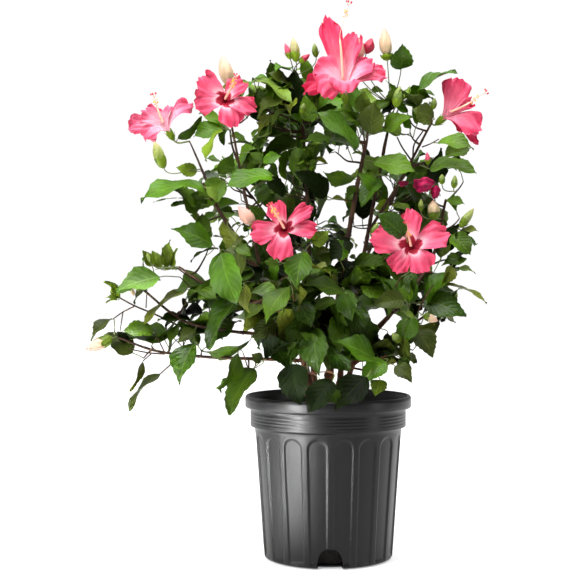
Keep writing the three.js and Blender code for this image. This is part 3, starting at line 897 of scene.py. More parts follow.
leaf_uv = np.stack(np.broadcast_arrays((ACROSS[None] + 1) / 2, ALONG[:, None]), -1)
leaf_faces = grid_faces(len(ALONG), len(ACROSS))
print(len(leaf_faces) * 2, "triangles in a leaf")

# %% [markdown]
# ## The leaves that face the front
# A seeded rule fills a crown, but the eye also knows a plant by its own foremost leaves: the pale
# one that hangs at the left, the dark one over the rim. Those are listed with the column and row of
# their foot and tip, their width, and how many layers they lie behind the foremost, or in front of
# it where that is below zero. The depth comes from the tuft they belong to. A leaf that shows
# narrow is rolled about its own length, and one that shows short points towards the eye.

# %% The list of front leaves, by tone
FRONT_LEAVES = {
    "lime": [
        (222, 130, 206, 164, 13, 0), (197, 171, 176, 168, 14, 0), (312, 243, 330, 231, 16, 0),
        (389, 203, 373, 210, 12, 1), (380, 380, 374, 396, 18, 1), (152, 266, 143, 250, 11, 0),
        (160, 268, 152, 250, 12, 0), (168, 267, 162, 247, 12, 0), (170, 265, 171, 239, 12, 0),
        (172, 269, 178, 248, 10, 0), (176, 270, 155, 270, 5, 0), (117, 294, 104, 281, 7, 0),
        (118, 297, 113, 282, 8, 0), (120, 298, 105, 298, 6, 0), (118, 300, 106, 303, 4, 0),
        (120, 297, 110, 292, 8, 0), (138, 290, 145, 281, 6, 0), (133, 286, 136, 280, 5, 0)],
    "fresh": [
        (272, 176, 224, 190, 25, 0), (256, 81, 235, 97, 11, 0), (263, 162, 283, 157, 13, 0),
        (203, 188, 140, 203, 25, 0), (213, 245, 171, 229, 25, 0), (214, 213, 203, 222, 8, 0),
        (221, 253, 240, 308, 35, 0), (303, 252, 296, 290, 28, 0), (386, 362, 359, 383, 22, 0),
        (133, 288, 115, 293, 10, 0), (376, 360, 333, 340, 24, 0), (374, 190, 357, 173, 14, 0),
        (222, 126, 194, 138, 22, 0), (413, 317, 401, 347, 22, -1)],
    "mid": [
        (374, 162, 417, 175, 25, 0), (384, 131, 413, 117, 19, 0), (430, 169, 477, 175, 21, 0),
        (438, 143, 474, 151, 19, 0), (312, 122, 304, 95, 18, 0), (311, 80, 303, 58, 14, 1),
        (354, 179, 321, 172, 12, 0), (226, 128, 199, 114, 14, 1), (232, 134, 246, 142, 9, 0),
        (262, 221, 249, 206, 14, 0), (278, 262, 264, 262, 10, 0), (236, 247, 252, 256, 12, 0),
        (222, 281, 196, 300, 20, 1), (335, 300, 312, 312, 14, 0), (452, 235, 470, 256, 22, 0),
        (447, 200, 465, 205, 11, 0), (153, 332, 122, 331, 18, 0), (289, 287, 265, 325, 24, 0),
        (249, 341, 199, 350, 11, 1), (238, 352, 217, 390, 12, 0), (466, 259, 440, 266, 14, 1),
        (198, 205, 171, 206, 11, 1)],
    "glossy": [
        (416, 94, 456, 73, 15, 0), (195, 343, 180, 386, 26, 0), (239, 297, 209, 349, 25, 0),
        (357, 149, 311, 113, 25, 0), (314, 328, 319, 376, 29, 0), (379, 178, 360, 208, 20, 0),
        (424, 300, 466, 316, 28, 0), (344, 290, 352, 322, 22, 0), (412, 272, 412, 297, 14, 1),
        (404, 236, 375, 214, 25, -7.7), (401, 69, 401, 46, 24, 0), (296, 300, 312, 330, 22, 1),
        (270, 345, 292, 372, 20, 1), (300, 338, 288, 372, 18, 2), (362, 330, 378, 350, 14, 2),
        (330, 345, 352, 372, 24, 2)],
    "deep": [
        (219, 174, 234, 152, 13, 0), (178, 139, 203, 117, 7, 0), (352, 146, 298, 145, 15, 1),
        (345, 292, 300, 285, 19, 0), (254, 368, 229, 415, 27, 0), (266, 91, 256, 106, 14, 1),
        (290, 135, 250, 148, 16, 1), (250, 153, 264, 163, 9, 1), (276, 184, 257, 208, 13, 0),
        (357, 185, 347, 200, 10, 1), (414, 170, 434, 168, 12, 1), (371, 90, 383, 92, 8, 1),
        (212, 124, 199, 129, 7, 1), (226, 127, 224, 147, 10, 1), (230, 144, 258, 149, 6, 1),
        (190, 199, 154, 203, 4, 1), (212, 200, 190, 195, 14, 1), (218, 249, 190, 263, 6, 1),
        (232, 228, 242, 223, 4, 1), (232, 243, 213, 236, 4, 1), (248, 231, 244, 224, 8, 1),
        (335, 240, 300, 248, 12, 1), (318, 302, 288, 350, 30, 1), (190, 320, 158, 320, 12, 1),
        (180, 322, 170, 350, 11, 1), (130, 350, 116, 343, 7, 1), (400, 358, 409, 368, 12, 1),
        (322, 382, 340, 405, 18, 0), (296, 140, 262, 168, 24, 0)],
    "darkest": [
        (332, 381, 307, 415, 27, -1), (366, 377, 333, 410, 31, 0), (327, 196, 294, 172, 24, 0),
        (284, 196, 262, 178, 16, 0), (388, 272, 362, 292, 24, 2), (385, 258, 372, 270, 12, 2),
        (388, 333, 380, 358, 12, 2), (128, 342, 117, 331, 10, 1), (292, 364, 300, 405, 33, 1),
        (350, 240, 330, 262, 24, 2)],
    "moss": [
        (112, 319, 92, 341, 13, 0), (371, 134, 374, 101, 27, 0), (292, 88, 265, 74, 14, 0),
        (287, 99, 256, 122, 17, 0), (273, 180, 250, 193, 6, 1), (433, 118, 409, 112, 24, 0),
        (352, 312, 372, 322, 14, 1), (404, 300, 372, 305, 22, 0), (418, 330, 432, 357, 24, 0),
        (403, 335, 414, 364, 9, 0), (408, 365, 411, 383, 8, 0), (160, 280, 134, 305, 9, 1),
        (195, 330, 178, 343, 14, 1), (160, 374, 130, 411, 13, 0), (262, 360, 251, 354, 12, 0),
        (378, 355, 345, 325, 20, 1), (275, 322, 250, 338, 20, 0), (395, 366, 412, 381, 17, 0)],
    "olive": [
        (240, 180, 246, 188, 8, 0), (327, 163, 302, 162, 9, 1), (330, 200, 348, 203, 6, 1),
        (246, 285, 250, 315, 14, 0), (462, 230, 479, 232, 8, 0), (452, 266, 441, 286, 13, 0),
        (444, 285, 486, 304, 9, 0), (186, 290, 145, 324, 14, 0), (143, 361, 131, 391, 6, 0)],
    "sage": [
        (257, 80, 293, 107, 15, 0), (286, 109, 271, 127, 9, 1), (400, 134, 384, 122, 14, 1),
        (360, 112, 363, 90, 16, 1), (410, 212, 391, 205, 10, 1), (219, 203, 203, 186, 11, 0),
        (200, 219, 190, 215, 8, 0), (452, 270, 476, 274, 7, 0), (414, 317, 403, 312, 7, 0)],
    "pale": [
        (160, 277, 117, 291, 26, 0)],
}
TONES = list(FRONT_LEAVES)
LAYER = 0.022
TWIG_BEHIND = 0.02
FRONT_TWIGS = [
    ((187, 330), (165, 319), (152, 313), (135, 306), (120, 298), 1.5),
    ((135, 306), (123, 312), (113, 319), 1.1), ((123, 312), (120, 331), 0.9),
    ((146, 308), (147, 290), 0.9), ((228, 297), (205, 285), (190, 277), (177, 268), 1.4),
    ((195, 294), (188, 285), (180, 277), 1.0), ((178, 358), (168, 367), (160, 374), 1.2),
    ((165, 353), (155, 333), 1.0), ((152, 353), (143, 361), 1.0),
    ((165, 354), (150, 353), (129, 349), 1.2), ((399, 182), (396, 192), (391, 205), 1.6),
    ((387, 134), (384, 145), (382, 155), 1.6), ((422, 147), (430, 144), (439, 139), 1.1),
    ((413, 157), (414, 145), (423, 131), 1.4), ((411, 160), (402, 147), (397, 137), 1.4),
    ((395, 288), (398, 282), (401, 277), 1.2), ((418, 312), (422, 303), (433, 285), 1.3),
    ((375, 328), (382, 321), (388, 315), 1.3), ((238, 163), (232, 145), (230, 130), 1.8),
    ((247, 205), (244, 195), (243, 185), 1.8), ((243, 188), (250, 183), (256, 178), 1.1),
    ((363, 160), (367, 140), (368, 120), 2.2),
]

# %% Where the front leaves go
BROADEST = 0.85
MOST_TOWARDS_EYE = 0.045
listed = [(*leaf, TONES.index(tone)) for tone, leaves in FRONT_LEAVES.items() for leaf in leaves]
foot_c, foot_r, tip_c, tip_r, wide, layer, front_tone = np.array(listed, float).T
front_y = front_depth((foot_c + tip_c) / 2, (foot_r + tip_r) / 2) + layer * LAYER
front_y += rng.uniform(-0.006, 0.006, len(wide))
front_feet = place(foot_c, foot_r, front_y)
flat_step = place(tip_c, tip_r, front_y) - front_feet
flat_length = np.linalg.norm(flat_step, axis=1)
seen_width = wide * (front_y - EYE[1]) / FOCAL_PIXELS
natural = np.clip(seen_width / flat_length, NATURAL_WIDTH, BROADEST)
true_length = np.maximum(flat_length * 1.04, seen_width / natural)
towards_eye = np.minimum(np.sqrt(true_length**2 - flat_length**2), MOST_TOWARDS_EYE)
front_tips = front_feet + flat_step - np.array([0, 1, 0]) * towards_eye[:, None]
front_length = np.linalg.norm(front_tips - front_feet, axis=1)
front_roll = np.arccos(np.clip(seen_width / (front_length * natural), 0.1, 1))
front_towards = unit(front_tips - front_feet)
plain_facing = np.array([-0.06, -1, 0.16]) + 0 * front_towards
plain_facing = unit(plain_facing - (plain_facing * front_towards).sum(1, keepdims=True) * front_towards)
front_side = np.cross(front_towards, plain_facing)
front_roll *= np.where(front_side @ [-0.5, 0, 1] > 0, 1, -1) * rng.choice([1, 1, 1, 1, 1, -1], len(wide))
front_facing = plain_facing * np.cos(front_roll)[:, None] + front_side * np.sin(front_roll)[:, None]
front_width = np.minimum(front_length * natural, seen_width * 2.2)
print(len(wide), "front leaves")

twig_paths = []
for *knots, _ in FRONT_TWIGS:
    columns, rows = np.array(knots, float).T
    depth = np.median(front_depth(columns, rows)) + TWIG_BEHIND
    twig_paths.append(smooth_path(place(columns, rows, depth), SHOOT_STEPS))
twig_paths = np.stack(twig_paths)
twig_thick = np.array([thick * MM for *_, thick in FRONT_TWIGS])

# %% [markdown]
# ## The leaves of the shoots
# Hibiscus leaves stand singly along the shoot, each turned 137.5 degrees from the last, on a
# stalk that leans out and up. The blade carries on from the stalk and droops. Leaves near the tip are
# shorter, paler and more upright. A leaf that would lie in a gap, outside the tufts, or in front of a
# bloom or of a front leaf is left out, as a grower would pinch it off.
#
# Each bloom's window is its column and row, half its width and height, and its depth in metres.

# %% Seeded leaves
GOLDEN_TURN = np.radians(137.5)
LEAF_SPACING = 0.0095
BLADE_LENGTHS = (0.050, 0.080)
LEAVES_A_SHOOT = (7, 20)
FIRST_LEAF = 0.22
BLOOM_ROOM = 0.045
FRONT_LEAF_ROOM = 0.004
BLOOM_VIEWS = np.array([(345, 58, 46, 52, -0.04), (226, 96, 34, 34, -0.06), (158, 122, 36, 24, -0.02),
                        (462, 112, 26, 38, -0.005), (410, 242, 44, 38, -0.15), (284, 230, 42, 36, -0.16)])


def along_path(paths, which, t):
    """Points at the shares t of the paths numbered `which`, between their steps."""
    at = t * (paths.shape[1] - 1)
    low = np.minimum(at.astype(int), paths.shape[1] - 2)
    share = (at - low)[:, None]
    return paths[which, low] * (1 - share) + paths[which, low + 1] * share


shoot_length = arc_lengths(shoots)[:, -1]
leaf_count = np.clip((shoot_length / LEAF_SPACING).astype(int), *LEAVES_A_SHOOT)
of_shoot = np.repeat(np.arange(len(shoots)), leaf_count)
place_in_shoot = np.arange(len(of_shoot)) - np.repeat(np.cumsum(leaf_count) - leaf_count, leaf_count)
rise = FIRST_LEAF + (1 - FIRST_LEAF) * (place_in_shoot + 0.6) / leaf_count[of_shoot]
rise = np.minimum(rise, 1)
knot = along_path(shoots, of_shoot, rise)
along_shoot = unit(along_path(np.gradient(shoots, axis=1), of_shoot, rise))
first, second = path_frames(shoots)
turn = place_in_shoot * GOLDEN_TURN + rng.uniform(0, 2 * np.pi, len(shoots))[of_shoot]
outward = unit(spokes(turn, along_path(first, of_shoot, rise), along_path(second, of_shoot, rise)))
total = len(rise)
near_tip = rise[:, None] ** 5
UP = np.array([0, 0, 1.0])
stalk_way = unit(outward + 0.5 * along_shoot + 0.35 * UP)
stalk = stalk_way * ((0.032 - 0.02 * rise) * rng.uniform(0.7, 1.3, total))[:, None]
droop = rng.uniform(-0.55, 0.15, (total, 1)) * (1 - near_tip)
blade_way = unit(outward * (1 - 0.5 * near_tip) + along_shoot * (0.2 + 0.6 * near_tip)
                 + UP * (droop + 0.4 * near_tip))
blade_facing = unit(0.8 * UP + [0, -0.25, 0] + rng.normal(0, 0.32, (total, 3)) + 0.3 * outward)
low_longer = 1.14 - 0.14 * smooth((knot[:, 2] - 0.36) / 0.1)
blade_length = rng.uniform(*BLADE_LENGTHS, total) * (1 - 0.5 * rise**6) * low_longer
blade_width = blade_length * rng.uniform(0.5, 0.66, total)
blade_feet = knot + stalk
blade_tips = blade_feet + blade_way * blade_length[:, None]
blade_middle = (blade_feet + blade_tips) / 2
kept = (tuft_reach(blade_middle).min(1) < 1.04) & (tuft_reach(blade_tips).min(1) < 1.3)
kept &= ~in_gap(blade_middle, 4) & ~in_gap(blade_tips, 0) & ~in_gap(blade_feet, 0)
run_c, run_r = tip_c - foot_c, tip_r - foot_r
for spot in (blade_feet, blade_middle, blade_tips):
    column, row = shown_at(spot)
    inside = np.hypot((column[:, None] - BLOOM_VIEWS[:, 0]) / BLOOM_VIEWS[:, 2],
                      (row[:, None] - BLOOM_VIEWS[:, 1]) / BLOOM_VIEWS[:, 3]) < 1
    kept &= ~(inside & (spot[:, 1:2] < BLOOM_VIEWS[:, 4] + BLOOM_ROOM)).any(1)
    beside = ((column[:, None] - foot_c) * run_c + (row[:, None] - foot_r) * run_r) / (run_c**2 + run_r**2)
    beside = np.clip(beside, 0, 1)
    away = np.hypot(column[:, None] - foot_c - beside * run_c, row[:, None] - foot_r - beside * run_r)
    kept &= ~((away < wide * 0.42) & (spot[:, 1:2] < front_y + FRONT_LEAF_ROOM) & (layer < 1)).any(1)
low, high = (np.array(c) for c in cad_box)
kept &= ((blade_tips > low - 0.004) & (blade_tips < high + 0.004)).all(1)

# Low shoots get more deep and darkest leaves, high ones more mid and fresh. The crown is darker low down,
# partly from older leaves and partly as painted shade under the crown.
LOW_TONES = {"deep": 0.32, "darkest": 0.12, "mid": 0.22, "glossy": 0.14, "moss": 0.12, "olive": 0.05,
             "fresh": 0.03}
HIGH_TONES = {"mid": 0.50, "glossy": 0.08, "sage": 0.14, "fresh": 0.15, "moss": 0.03, "olive": 0.05,
              "deep": 0.05}
odds = np.array([[tones.get(tone, 0) for tone in TONES] for tones in (LOW_TONES, HIGH_TONES)])
odds = np.cumsum(odds / odds.sum(1, keepdims=True), axis=1)
highness = np.clip((shoot_targets[:, 2:] - 0.36) / 0.24, 0, 1)
shoot_tone = (rng.uniform(size=(len(shoots), 1)) > odds[0] * (1 - highness) + odds[1] * highness).sum(1)
strays = rng.uniform(size=total) < 0.3
stray_tone = shoot_tone[rng.permutation(len(shoots))][of_shoot]
blade_tone = np.where(strays, stray_tone, shoot_tone[of_shoot])
blade_tone = np.where((rise > 0.93) & (rng.uniform(size=total) < 0.5), TONES.index("fresh"), blade_tone)
last_leaf = np.zeros(len(shoots))
np.maximum.at(last_leaf, of_shoot[kept], rise[kept])
leafy = np.flatnonzero(last_leaf)
shown_shoots = np.stack([along_path(shoots, leafy, last_leaf[leafy] * part)
                         for part in np.linspace(0, 1, SHOOT_STEPS)], 1)
print(int(kept.sum()), "of", total, "seeded leaves kept, on", len(leafy), "shoots")

# %% [markdown]
# ## Leaf green
# The greens differ by age and by light: young leaves are yellow green, old ones nearly black green,
# and the glossy ones mirror the sky. Each tone is its own finish. Veins are a formula of the leaf's
# own coordinates: a midrib at the middle, and side veins along lines that climb towards the edge.

# %% Leaf finishes
TONE_COLOURS = {
    "lime": ((90, 112, 18), (122, 140, 46), 0.42), "fresh": ((56, 90, 3), (98, 126, 38), 0.38),
    "mid": ((62, 90, 8), (98, 122, 40), 0.40), "glossy": ((44, 70, 10), (88, 112, 46), 0.26),
    "deep": ((38, 56, 6), (62, 80, 24), 0.42), "darkest": ((14, 24, 3), (24, 37, 10), 0.46),
    "moss": ((52, 64, 12), (88, 98, 38), 0.40), "olive": ((90, 100, 22), (124, 128, 50), 0.42),
    "sage": ((86, 109, 34), (126, 146, 70), 0.34), "pale": ((90, 128, 44), (140, 170, 94), 0.40),
}
DULL_TONES = ("deep", "darkest")
SHADED, SUNLIT = 0.40, 1.95


def lit(colour, factor):
    """The same colour under `factor` times the light."""
    return tuple(c * factor for c in colour[:3]) + (1.0,)


def leaf_finish(tone):
    """Green between a shaded and a sunlit copy of its tone: painted shade and light in soft patches over
    the crown, lighter high up for younger leaves and for painted light from above, paler veins, and a
    slight dip along them."""
    plain, vein, gloss = TONE_COLOURS[tone]
    specular = 0.05 if tone in DULL_TONES else 0.18
    material, shader, wire = new_finish("leaf_" + tone, Specular_IOR_Level=specular)
    on_leaf = texture_place(wire, "UV")
    off_middle = abs(on_leaf.part(0) - 0.5)
    midrib = off_middle.between(0.045, 0.012)
    slant = on_leaf.part(1) * 7.0 - off_middle * 5.0
    climb = slant.math("FRACT", slant)
    side_veins = abs(climb - 0.5).between(0.13, 0.02) * 0.5
    veins = midrib.largest(side_veins)
    where = texture_place(wire)
    # Painted shade and light: soft patches that run from a shaded to a sunlit copy of the green.
    shades = noise(wire, where, 22.0, detail=2).between(0.3, 0.7)
    mottle = noise(wire, where, 140.0, detail=3).between(0.35, 0.75)
    # Lighter high up: partly younger leaves, partly painted light from above.
    youth_and_top_light = where.part(2).between(0.36, 0.70)
    lightness = shades * 0.45 + mottle * 0.15 + youth_and_top_light * 0.4
    green = lightness.mixed(lit(srgb(*plain), SHADED), lit(srgb(*plain), SUNLIT))
    feed(shader, "Base Color", (veins * 0.42).mixed(green, srgb(*vein)))
    feed(shader, "Roughness", mottle * 0.14 + gloss)
    quilt = abs(climb - 0.5).between(0.5, 0.0)
    feed(shader, "Normal", bump(wire, midrib * -0.6 - quilt * 0.6 + mottle * 0.3, 0.35, 0.0013))
    return material


# %% Leaves into one piece for each tone
FRONT_WAVE, SEEDED_WAVE = 0.36, 0.5
front = leaf_points(front_feet, front_towards, front_facing, front_length * 1.02, front_width,
                    rng.uniform(0.04, 0.12, len(wide)), rng.uniform(0.1, 0.45, len(wide)),
                    np.full(len(wide), FRONT_WAVE))
blades = [part[kept] for part in (blade_feet, blade_way, blade_facing, blade_length, blade_width)]
seeded = leaf_points(*blades, rng.uniform(0.04, 0.2, kept.sum()), rng.uniform(0.1, 0.55, kept.sum()),
                     np.full(kept.sum(), SEEDED_WAVE))
all_leaves = np.concatenate([front, seeded])
all_tones = np.concatenate([front_tone.astype(int), blade_tone[kept]])
for number, tone in enumerate(TONES):
    chosen = all_leaves[all_tones == number]
    faces = repeated(leaf_faces, len(chosen), leaf_faces.max() + 1)
    uv = np.broadcast_to(leaf_uv, (len(chosen), *leaf_uv.shape))
    leaves = make_piece("leaves_" + tone, chosen, [faces], leaf_finish(tone), "leaf", uv=uv)
    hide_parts(*TUFTS)

# %% [markdown]
# ## Twigs and leaf stalks
# Every leaf hangs on something. A seeded leaf's stalk starts at its knot on the shoot. A front leaf
# looks for the nearest twig that isn't above it. If that is far, a thin twig reaches out to it and only
# the last two centimetres are leaf stalk.

# %% Twigs and stalks
carriers = np.concatenate([skeleton, shown_shoots.reshape(-1, 3), twig_paths.reshape(-1, 3)])
ABOVE_COST = 0.6


def nearest_carrier(points):
    """For each point the carrier that is nearest, where height above the point counts extra."""
    cost = np.linalg.norm(carriers[None] - points[:, None], axis=-1)
    cost += ABOVE_COST * np.maximum(carriers[None, :, 2] - points[:, None, 2], 0)
    return carriers[cost.argmin(1)]


def reaching(start, end, arriving, bow=0.3):
    """Curve controls from start to end that set off sideways and arrive along `arriving`."""
    far = np.linalg.norm(end - start, axis=1, keepdims=True)
    set_off = (end - start) * [bow, bow, bow * 0.4]
    return np.stack([start, start + set_off, end - unit(arriving) * far * bow, end], 1)


PETIOLE = 0.022
FAR = 0.035
front_start = nearest_carrier(front_feet)
front_reach = np.linalg.norm(front_feet - front_start, axis=1)
front_curves = reaching(front_start, front_feet, front_towards)
split = np.clip(1 - PETIOLE / np.maximum(front_reach, 1e-4), 0, 1)
split = np.where(front_reach > FAR, split, 0)
far_off = split > 0
reaching_twigs = bezier(front_curves[far_off], SHOOT_STEPS, 0, split[far_off])
twig_feet = nearest_carrier(twig_paths[:, 0])
twig_roots = bezier(reaching(twig_feet, twig_paths[:, 0], twig_paths[:, 1] - twig_paths[:, 0]), SHOOT_STEPS)
taper = np.linspace(1, 0, SHOOT_STEPS)
twig_radii = [np.full((len(shown_shoots), 1), 0.9 * MM) + 0.9 * MM * taper,
              np.full((len(reaching_twigs), 1), 0.75 * MM) + 0.5 * MM * taper,
              twig_thick[:, None] * (0.75 + 0.25 * taper), twig_thick[:, None] * (1 + 0.25 * taper)]
all_twigs = np.concatenate([shown_shoots, reaching_twigs, twig_paths, twig_roots])
twigs = make_piece("twigs", *tubes(all_twigs, np.concatenate(twig_radii), 6), bark_finish, "bark")
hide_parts(*TUFTS)

STALK_STEPS = 7
STALK_RADIUS = 0.75 * MM
blade_curves = np.stack([knot, knot + stalk * 0.4 + [0, 0, 0.002], blade_feet - blade_way * 0.006,
                         blade_feet], 1)[kept]
stalk_paths = np.concatenate([bezier(front_curves, STALK_STEPS, split, 1), bezier(blade_curves, STALK_STEPS)])
stalk_finish, stalk_shader, wire = new_finish("green_stalk", Roughness=0.45)
shades = noise(wire, texture_place(wire), 30.0).between(0.3, 0.7)
feed(stalk_shader, "Base Color", shades.mixed(srgb(74, 84, 40), srgb(110, 122, 62)))
make_piece("leaf_stalks", *tubes(stalk_paths, np.full(stalk_paths.shape[:2], STALK_RADIUS), 4),
           stalk_finish, "bark")

# %% [markdown]
# ## Blooms
# A hibiscus bloom has five petals that overlap like a fan round a dark eye. Each petal is narrow at
# the throat, widest near its end, ruffled along the margin and streaked from the eye outwards. The
# bloom at the top shows more folds than that, so it gets eight pieces. A petal could be sculpted, but
# all of them follow one rule: a curved centre line from the throat to the tip, a width along it, and
# waves that grow towards the margin.

# %% The six blooms
# Columns and rows are of the front view, and further depths are millimetres behind the bloom's own.
# Each bloom: its depth in metres, its eye, its throat and how far its petals turn to the front; its
# column of stamens; then where the column thins, where the threads start and end, how many there are,
# how pale the eye is and how much paler its colour is painted for light shining through the petals;
# then each petal's end, width, depth, lift and depth of colour.
BLOOMS = {
    "bloom_top": (
        -0.04, (343, 80), (345, 97, 6), 0.55,
        [(343, 80, 0), (341, 50, -2), (340, 34, -2), (344, 20, -2), (348, 6, -2)],
        (0.5, 0.8, 0.93, 10, 0.43, 0.0),
        [(326, 17, 22, 16, 5, 0.75), (353, 33, 25, 24, 6, 0.4), (314, 68, 30, 2, 7, 0.0),
         (373, 62, 32, 4, 7, 0.05), (387, 76, 31, -4, 9, 0.05), (323, 97, 30, -30, 17, 0.2),
         (345, 93, 32, -34, 17, 0.2), (304, 93, 18, -12, 12, 0.7)]),
    "bloom_upper_left": (
        -0.06, (225, 99), (226, 103, 14), 0.2,
        [(225, 99, 0), (230, 90, -14), (235, 79, -24)],
        (0.95, 0.6, 0.97, 26, 0.0, 0.0),
        [(199, 78, 24, 4, 6, 0.1), (243, 80, 23, 4, 6, 0.2), (195, 106, 24, -4, 6, 0.1),
         (235, 127, 26, -8, 6, 0.2), (256, 110, 22, 0, 6, 0.1)]),
    "bloom_far_left": (
        -0.02, (163, 123), (170, 134, 4), 0.6,
        [(163, 123, 0), (158, 110, -3), (154.6, 98, -3)],
        (0.8, 0.72, 0.97, 12, 0.42, 0.22),
        [(128, 129, 18, -4, 7, 0.0), (145, 140, 18, -16, 6, 0.1), (142, 113, 22, 8, 7, 0.0),
         (193, 104, 21, 8, 7, 0.1), (166, 108, 20, 16, 7, 0.15)]),
    "bloom_mid_left": (
        -0.16, (284, 228), (285, 231, 14), 0.2,
        [(284, 228, 0), (279, 219, -12), (272, 208, -18)],
        (0.9, 0.62, 0.97, 24, 0.0, 0.0),
        [(273, 203, 20, 2, 5, 0.15), (311, 206, 17, 4, 5, 0.1), (317, 230, 20, 0, 5, 0.1),
         (279, 260, 26, -6, 6, 0.12), (251, 236, 24, -4, 6, 0.1)]),
    "bloom_mid_right": (
        -0.15, (411, 246), (412, 248, 14), 0.2,
        [(411, 246, 0), (409, 238, -10), (407, 226, -18)],
        (0.95, 0.5, 0.97, 14, 0.0, 0.0),
        [(410, 209, 24, 4, 5, 0.12), (448, 231, 29, 0, 5, 0.1), (428, 271, 27, -6, 5, 0.1),
         (394, 272, 22, -4, 6, 0.2), (371, 237, 30, 0, 6, 0.12)]),
    "bloom_right": (
        -0.005, (450, 112), (441, 120, 5), 0.75,
        [(450, 112, 0), (462, 107, -4), (474, 100, -6), (483, 94, -6)],
        (0.6, 0.55, 0.9, 14, 0.52, 0.0),
        [(457, 78, 28, 2, 6, 0.45), (480, 132, 29, -6, 8, 0.35), (478, 144, 12, 6, 4, 0.6),
         (465, 131, 22, 6, 8, 0.7), (470, 98, 20, 14, 6, 0.5)]),
}
PETAL_SEED = 6
PAINTED_PETAL_GLOW = 0.12
FAN_TWIST, PETAL_CUP, PETAL_RIBS = 0.22, 0.20, 0.0005
PETAL_U = np.linspace(-1, 1, 25)
PETAL_V = 1 - (1 - np.linspace(0, 1, 34)) ** 1.25
PETAL_WIDTHS = ([0, 0.12, 0.25, 0.4, 0.55, 0.7, 0.82, 0.92, 1],
                [0.12, 0.2, 0.36, 0.56, 0.75, 0.92, 1, 0.97, 0.72])


def petal_points(throat, eye, tips, axis, facing, width, lift, rng):
    """Points of one bloom's petals. The half width follows a list of shares, from a narrow claw to a blunt
    end. The end's corners lag behind by u², with small frills. Out of plane: a cup u², a fan twist u, ribs
    that fade out towards the end, and ruffles of a few millimetres that grow with u²v + v⁴."""
    lift = lift[:, None]
    controls = np.stack([throat + 0 * tips, eye + (tips - eye) * 0.1 + axis * lift * 0.5,
                         eye + (tips - eye) * 0.62 + axis * lift, tips], 1)
    u, v = PETAL_U[None, None, :], PETAL_V[None, :, None]
    phase = rng.uniform(0, 2 * np.pi, (6, len(tips), 1, 1))
    frill = 0.022 * np.sin(8 * u + phase[4]) + 0.012 * np.sin(19 * u + phase[5])
    t = v * (1 - v**3 * (0.13 * u**2 - frill))
    centre = np.einsum("nvuw,nwc->nvuc", bezier_weights(t), controls)
    tangent = unit(np.gradient(centre, axis=1))
    side = unit(np.cross(unit(tips - eye), facing))[:, None, None]
    up = unit(np.cross(side, tangent))
    margin_waves = 0.05 * np.sin(7 * v + phase[0]) + 0.035 * np.sin(23 * v + 3 * u + phase[1])
    outline = np.interp(v, *PETAL_WIDTHS) * (1 + margin_waves * v)
    x = u * outline * width[:, None, None] / 2
    ruffle = 0.0032 * np.sin(5 * u + 7 * v + phase[2]) + 0.0022 * np.sin(12 * u - 8 * v + phase[3])
    z = (u**2 * v + v**4) * ruffle + FAN_TWIST * x + PETAL_CUP * np.abs(x) * np.abs(u)
    z = z + PETAL_RIBS * np.sin(22 * u) * np.clip(1 - v, 0, 1)
    return centre + x[..., None] * side + z[..., None] * up


petal_finish, petal_shader, wire = new_finish("petal", Specular_IOR_Level=0.3, Roughness=0.5)
on_petal = texture_place(wire, "UV")
along = on_petal.part(1)
off_middle = abs(on_petal.part(0) - 0.5)
rays = noise(wire, texture_place(wire, "UV", (22, 1.6, 1)), 1.0, detail=4, roughness=0.6)
fine_rays = noise(wire, texture_place(wire, "UV", (70, 2.5, 1)), 1.0, detail=2)
PETAL_STOPS = [(0.0, (104, 4, 18)), (0.25, (140, 8, 32)), (0.395, (164, 16, 46)), (0.415, (214, 92, 122)),
               (0.44, (244, 194, 204)), (0.58, (220, 116, 140)), (0.74, (209, 76, 108)),
               (1.0, (210, 74, 106))]
paler = attribute(wire, "paler")
star = along + (rays - 0.5) * 0.18 + off_middle * off_middle * along * 2.2 - paler * 0.25
ramp_at = star.largest(along * 0.2 + paler)
pink = ramp(wire, ramp_at, PETAL_STOPS)
streaked = (fine_rays.between(0.4, 0.7) * 0.34).mixed(pink, srgb(178, 32, 74))
outer_deep = attribute(wire, "deep") * along.between(0.3, 0.55)
deepened = outer_deep.mixed(streaked, srgb(196, 12, 66))
# Painted light: a bloom with light shining through its petals is painted a paler pink.
petal_colour = attribute(wire, "washed").mixed(deepened, srgb(214, 128, 158))
feed(petal_shader, "Base Color", petal_colour)
# Painted light: the petals glow faintly in their own colour, though they are no lamp, standing in for light
# that shines through them.
feed(petal_shader, "Emission Color", petal_colour)
petal_shader.inputs["Emission Strength"].default_value = PAINTED_PETAL_GLOW
feed(petal_shader, "Normal", bump(wire, fine_rays + rays, 0.5, 0.0012))

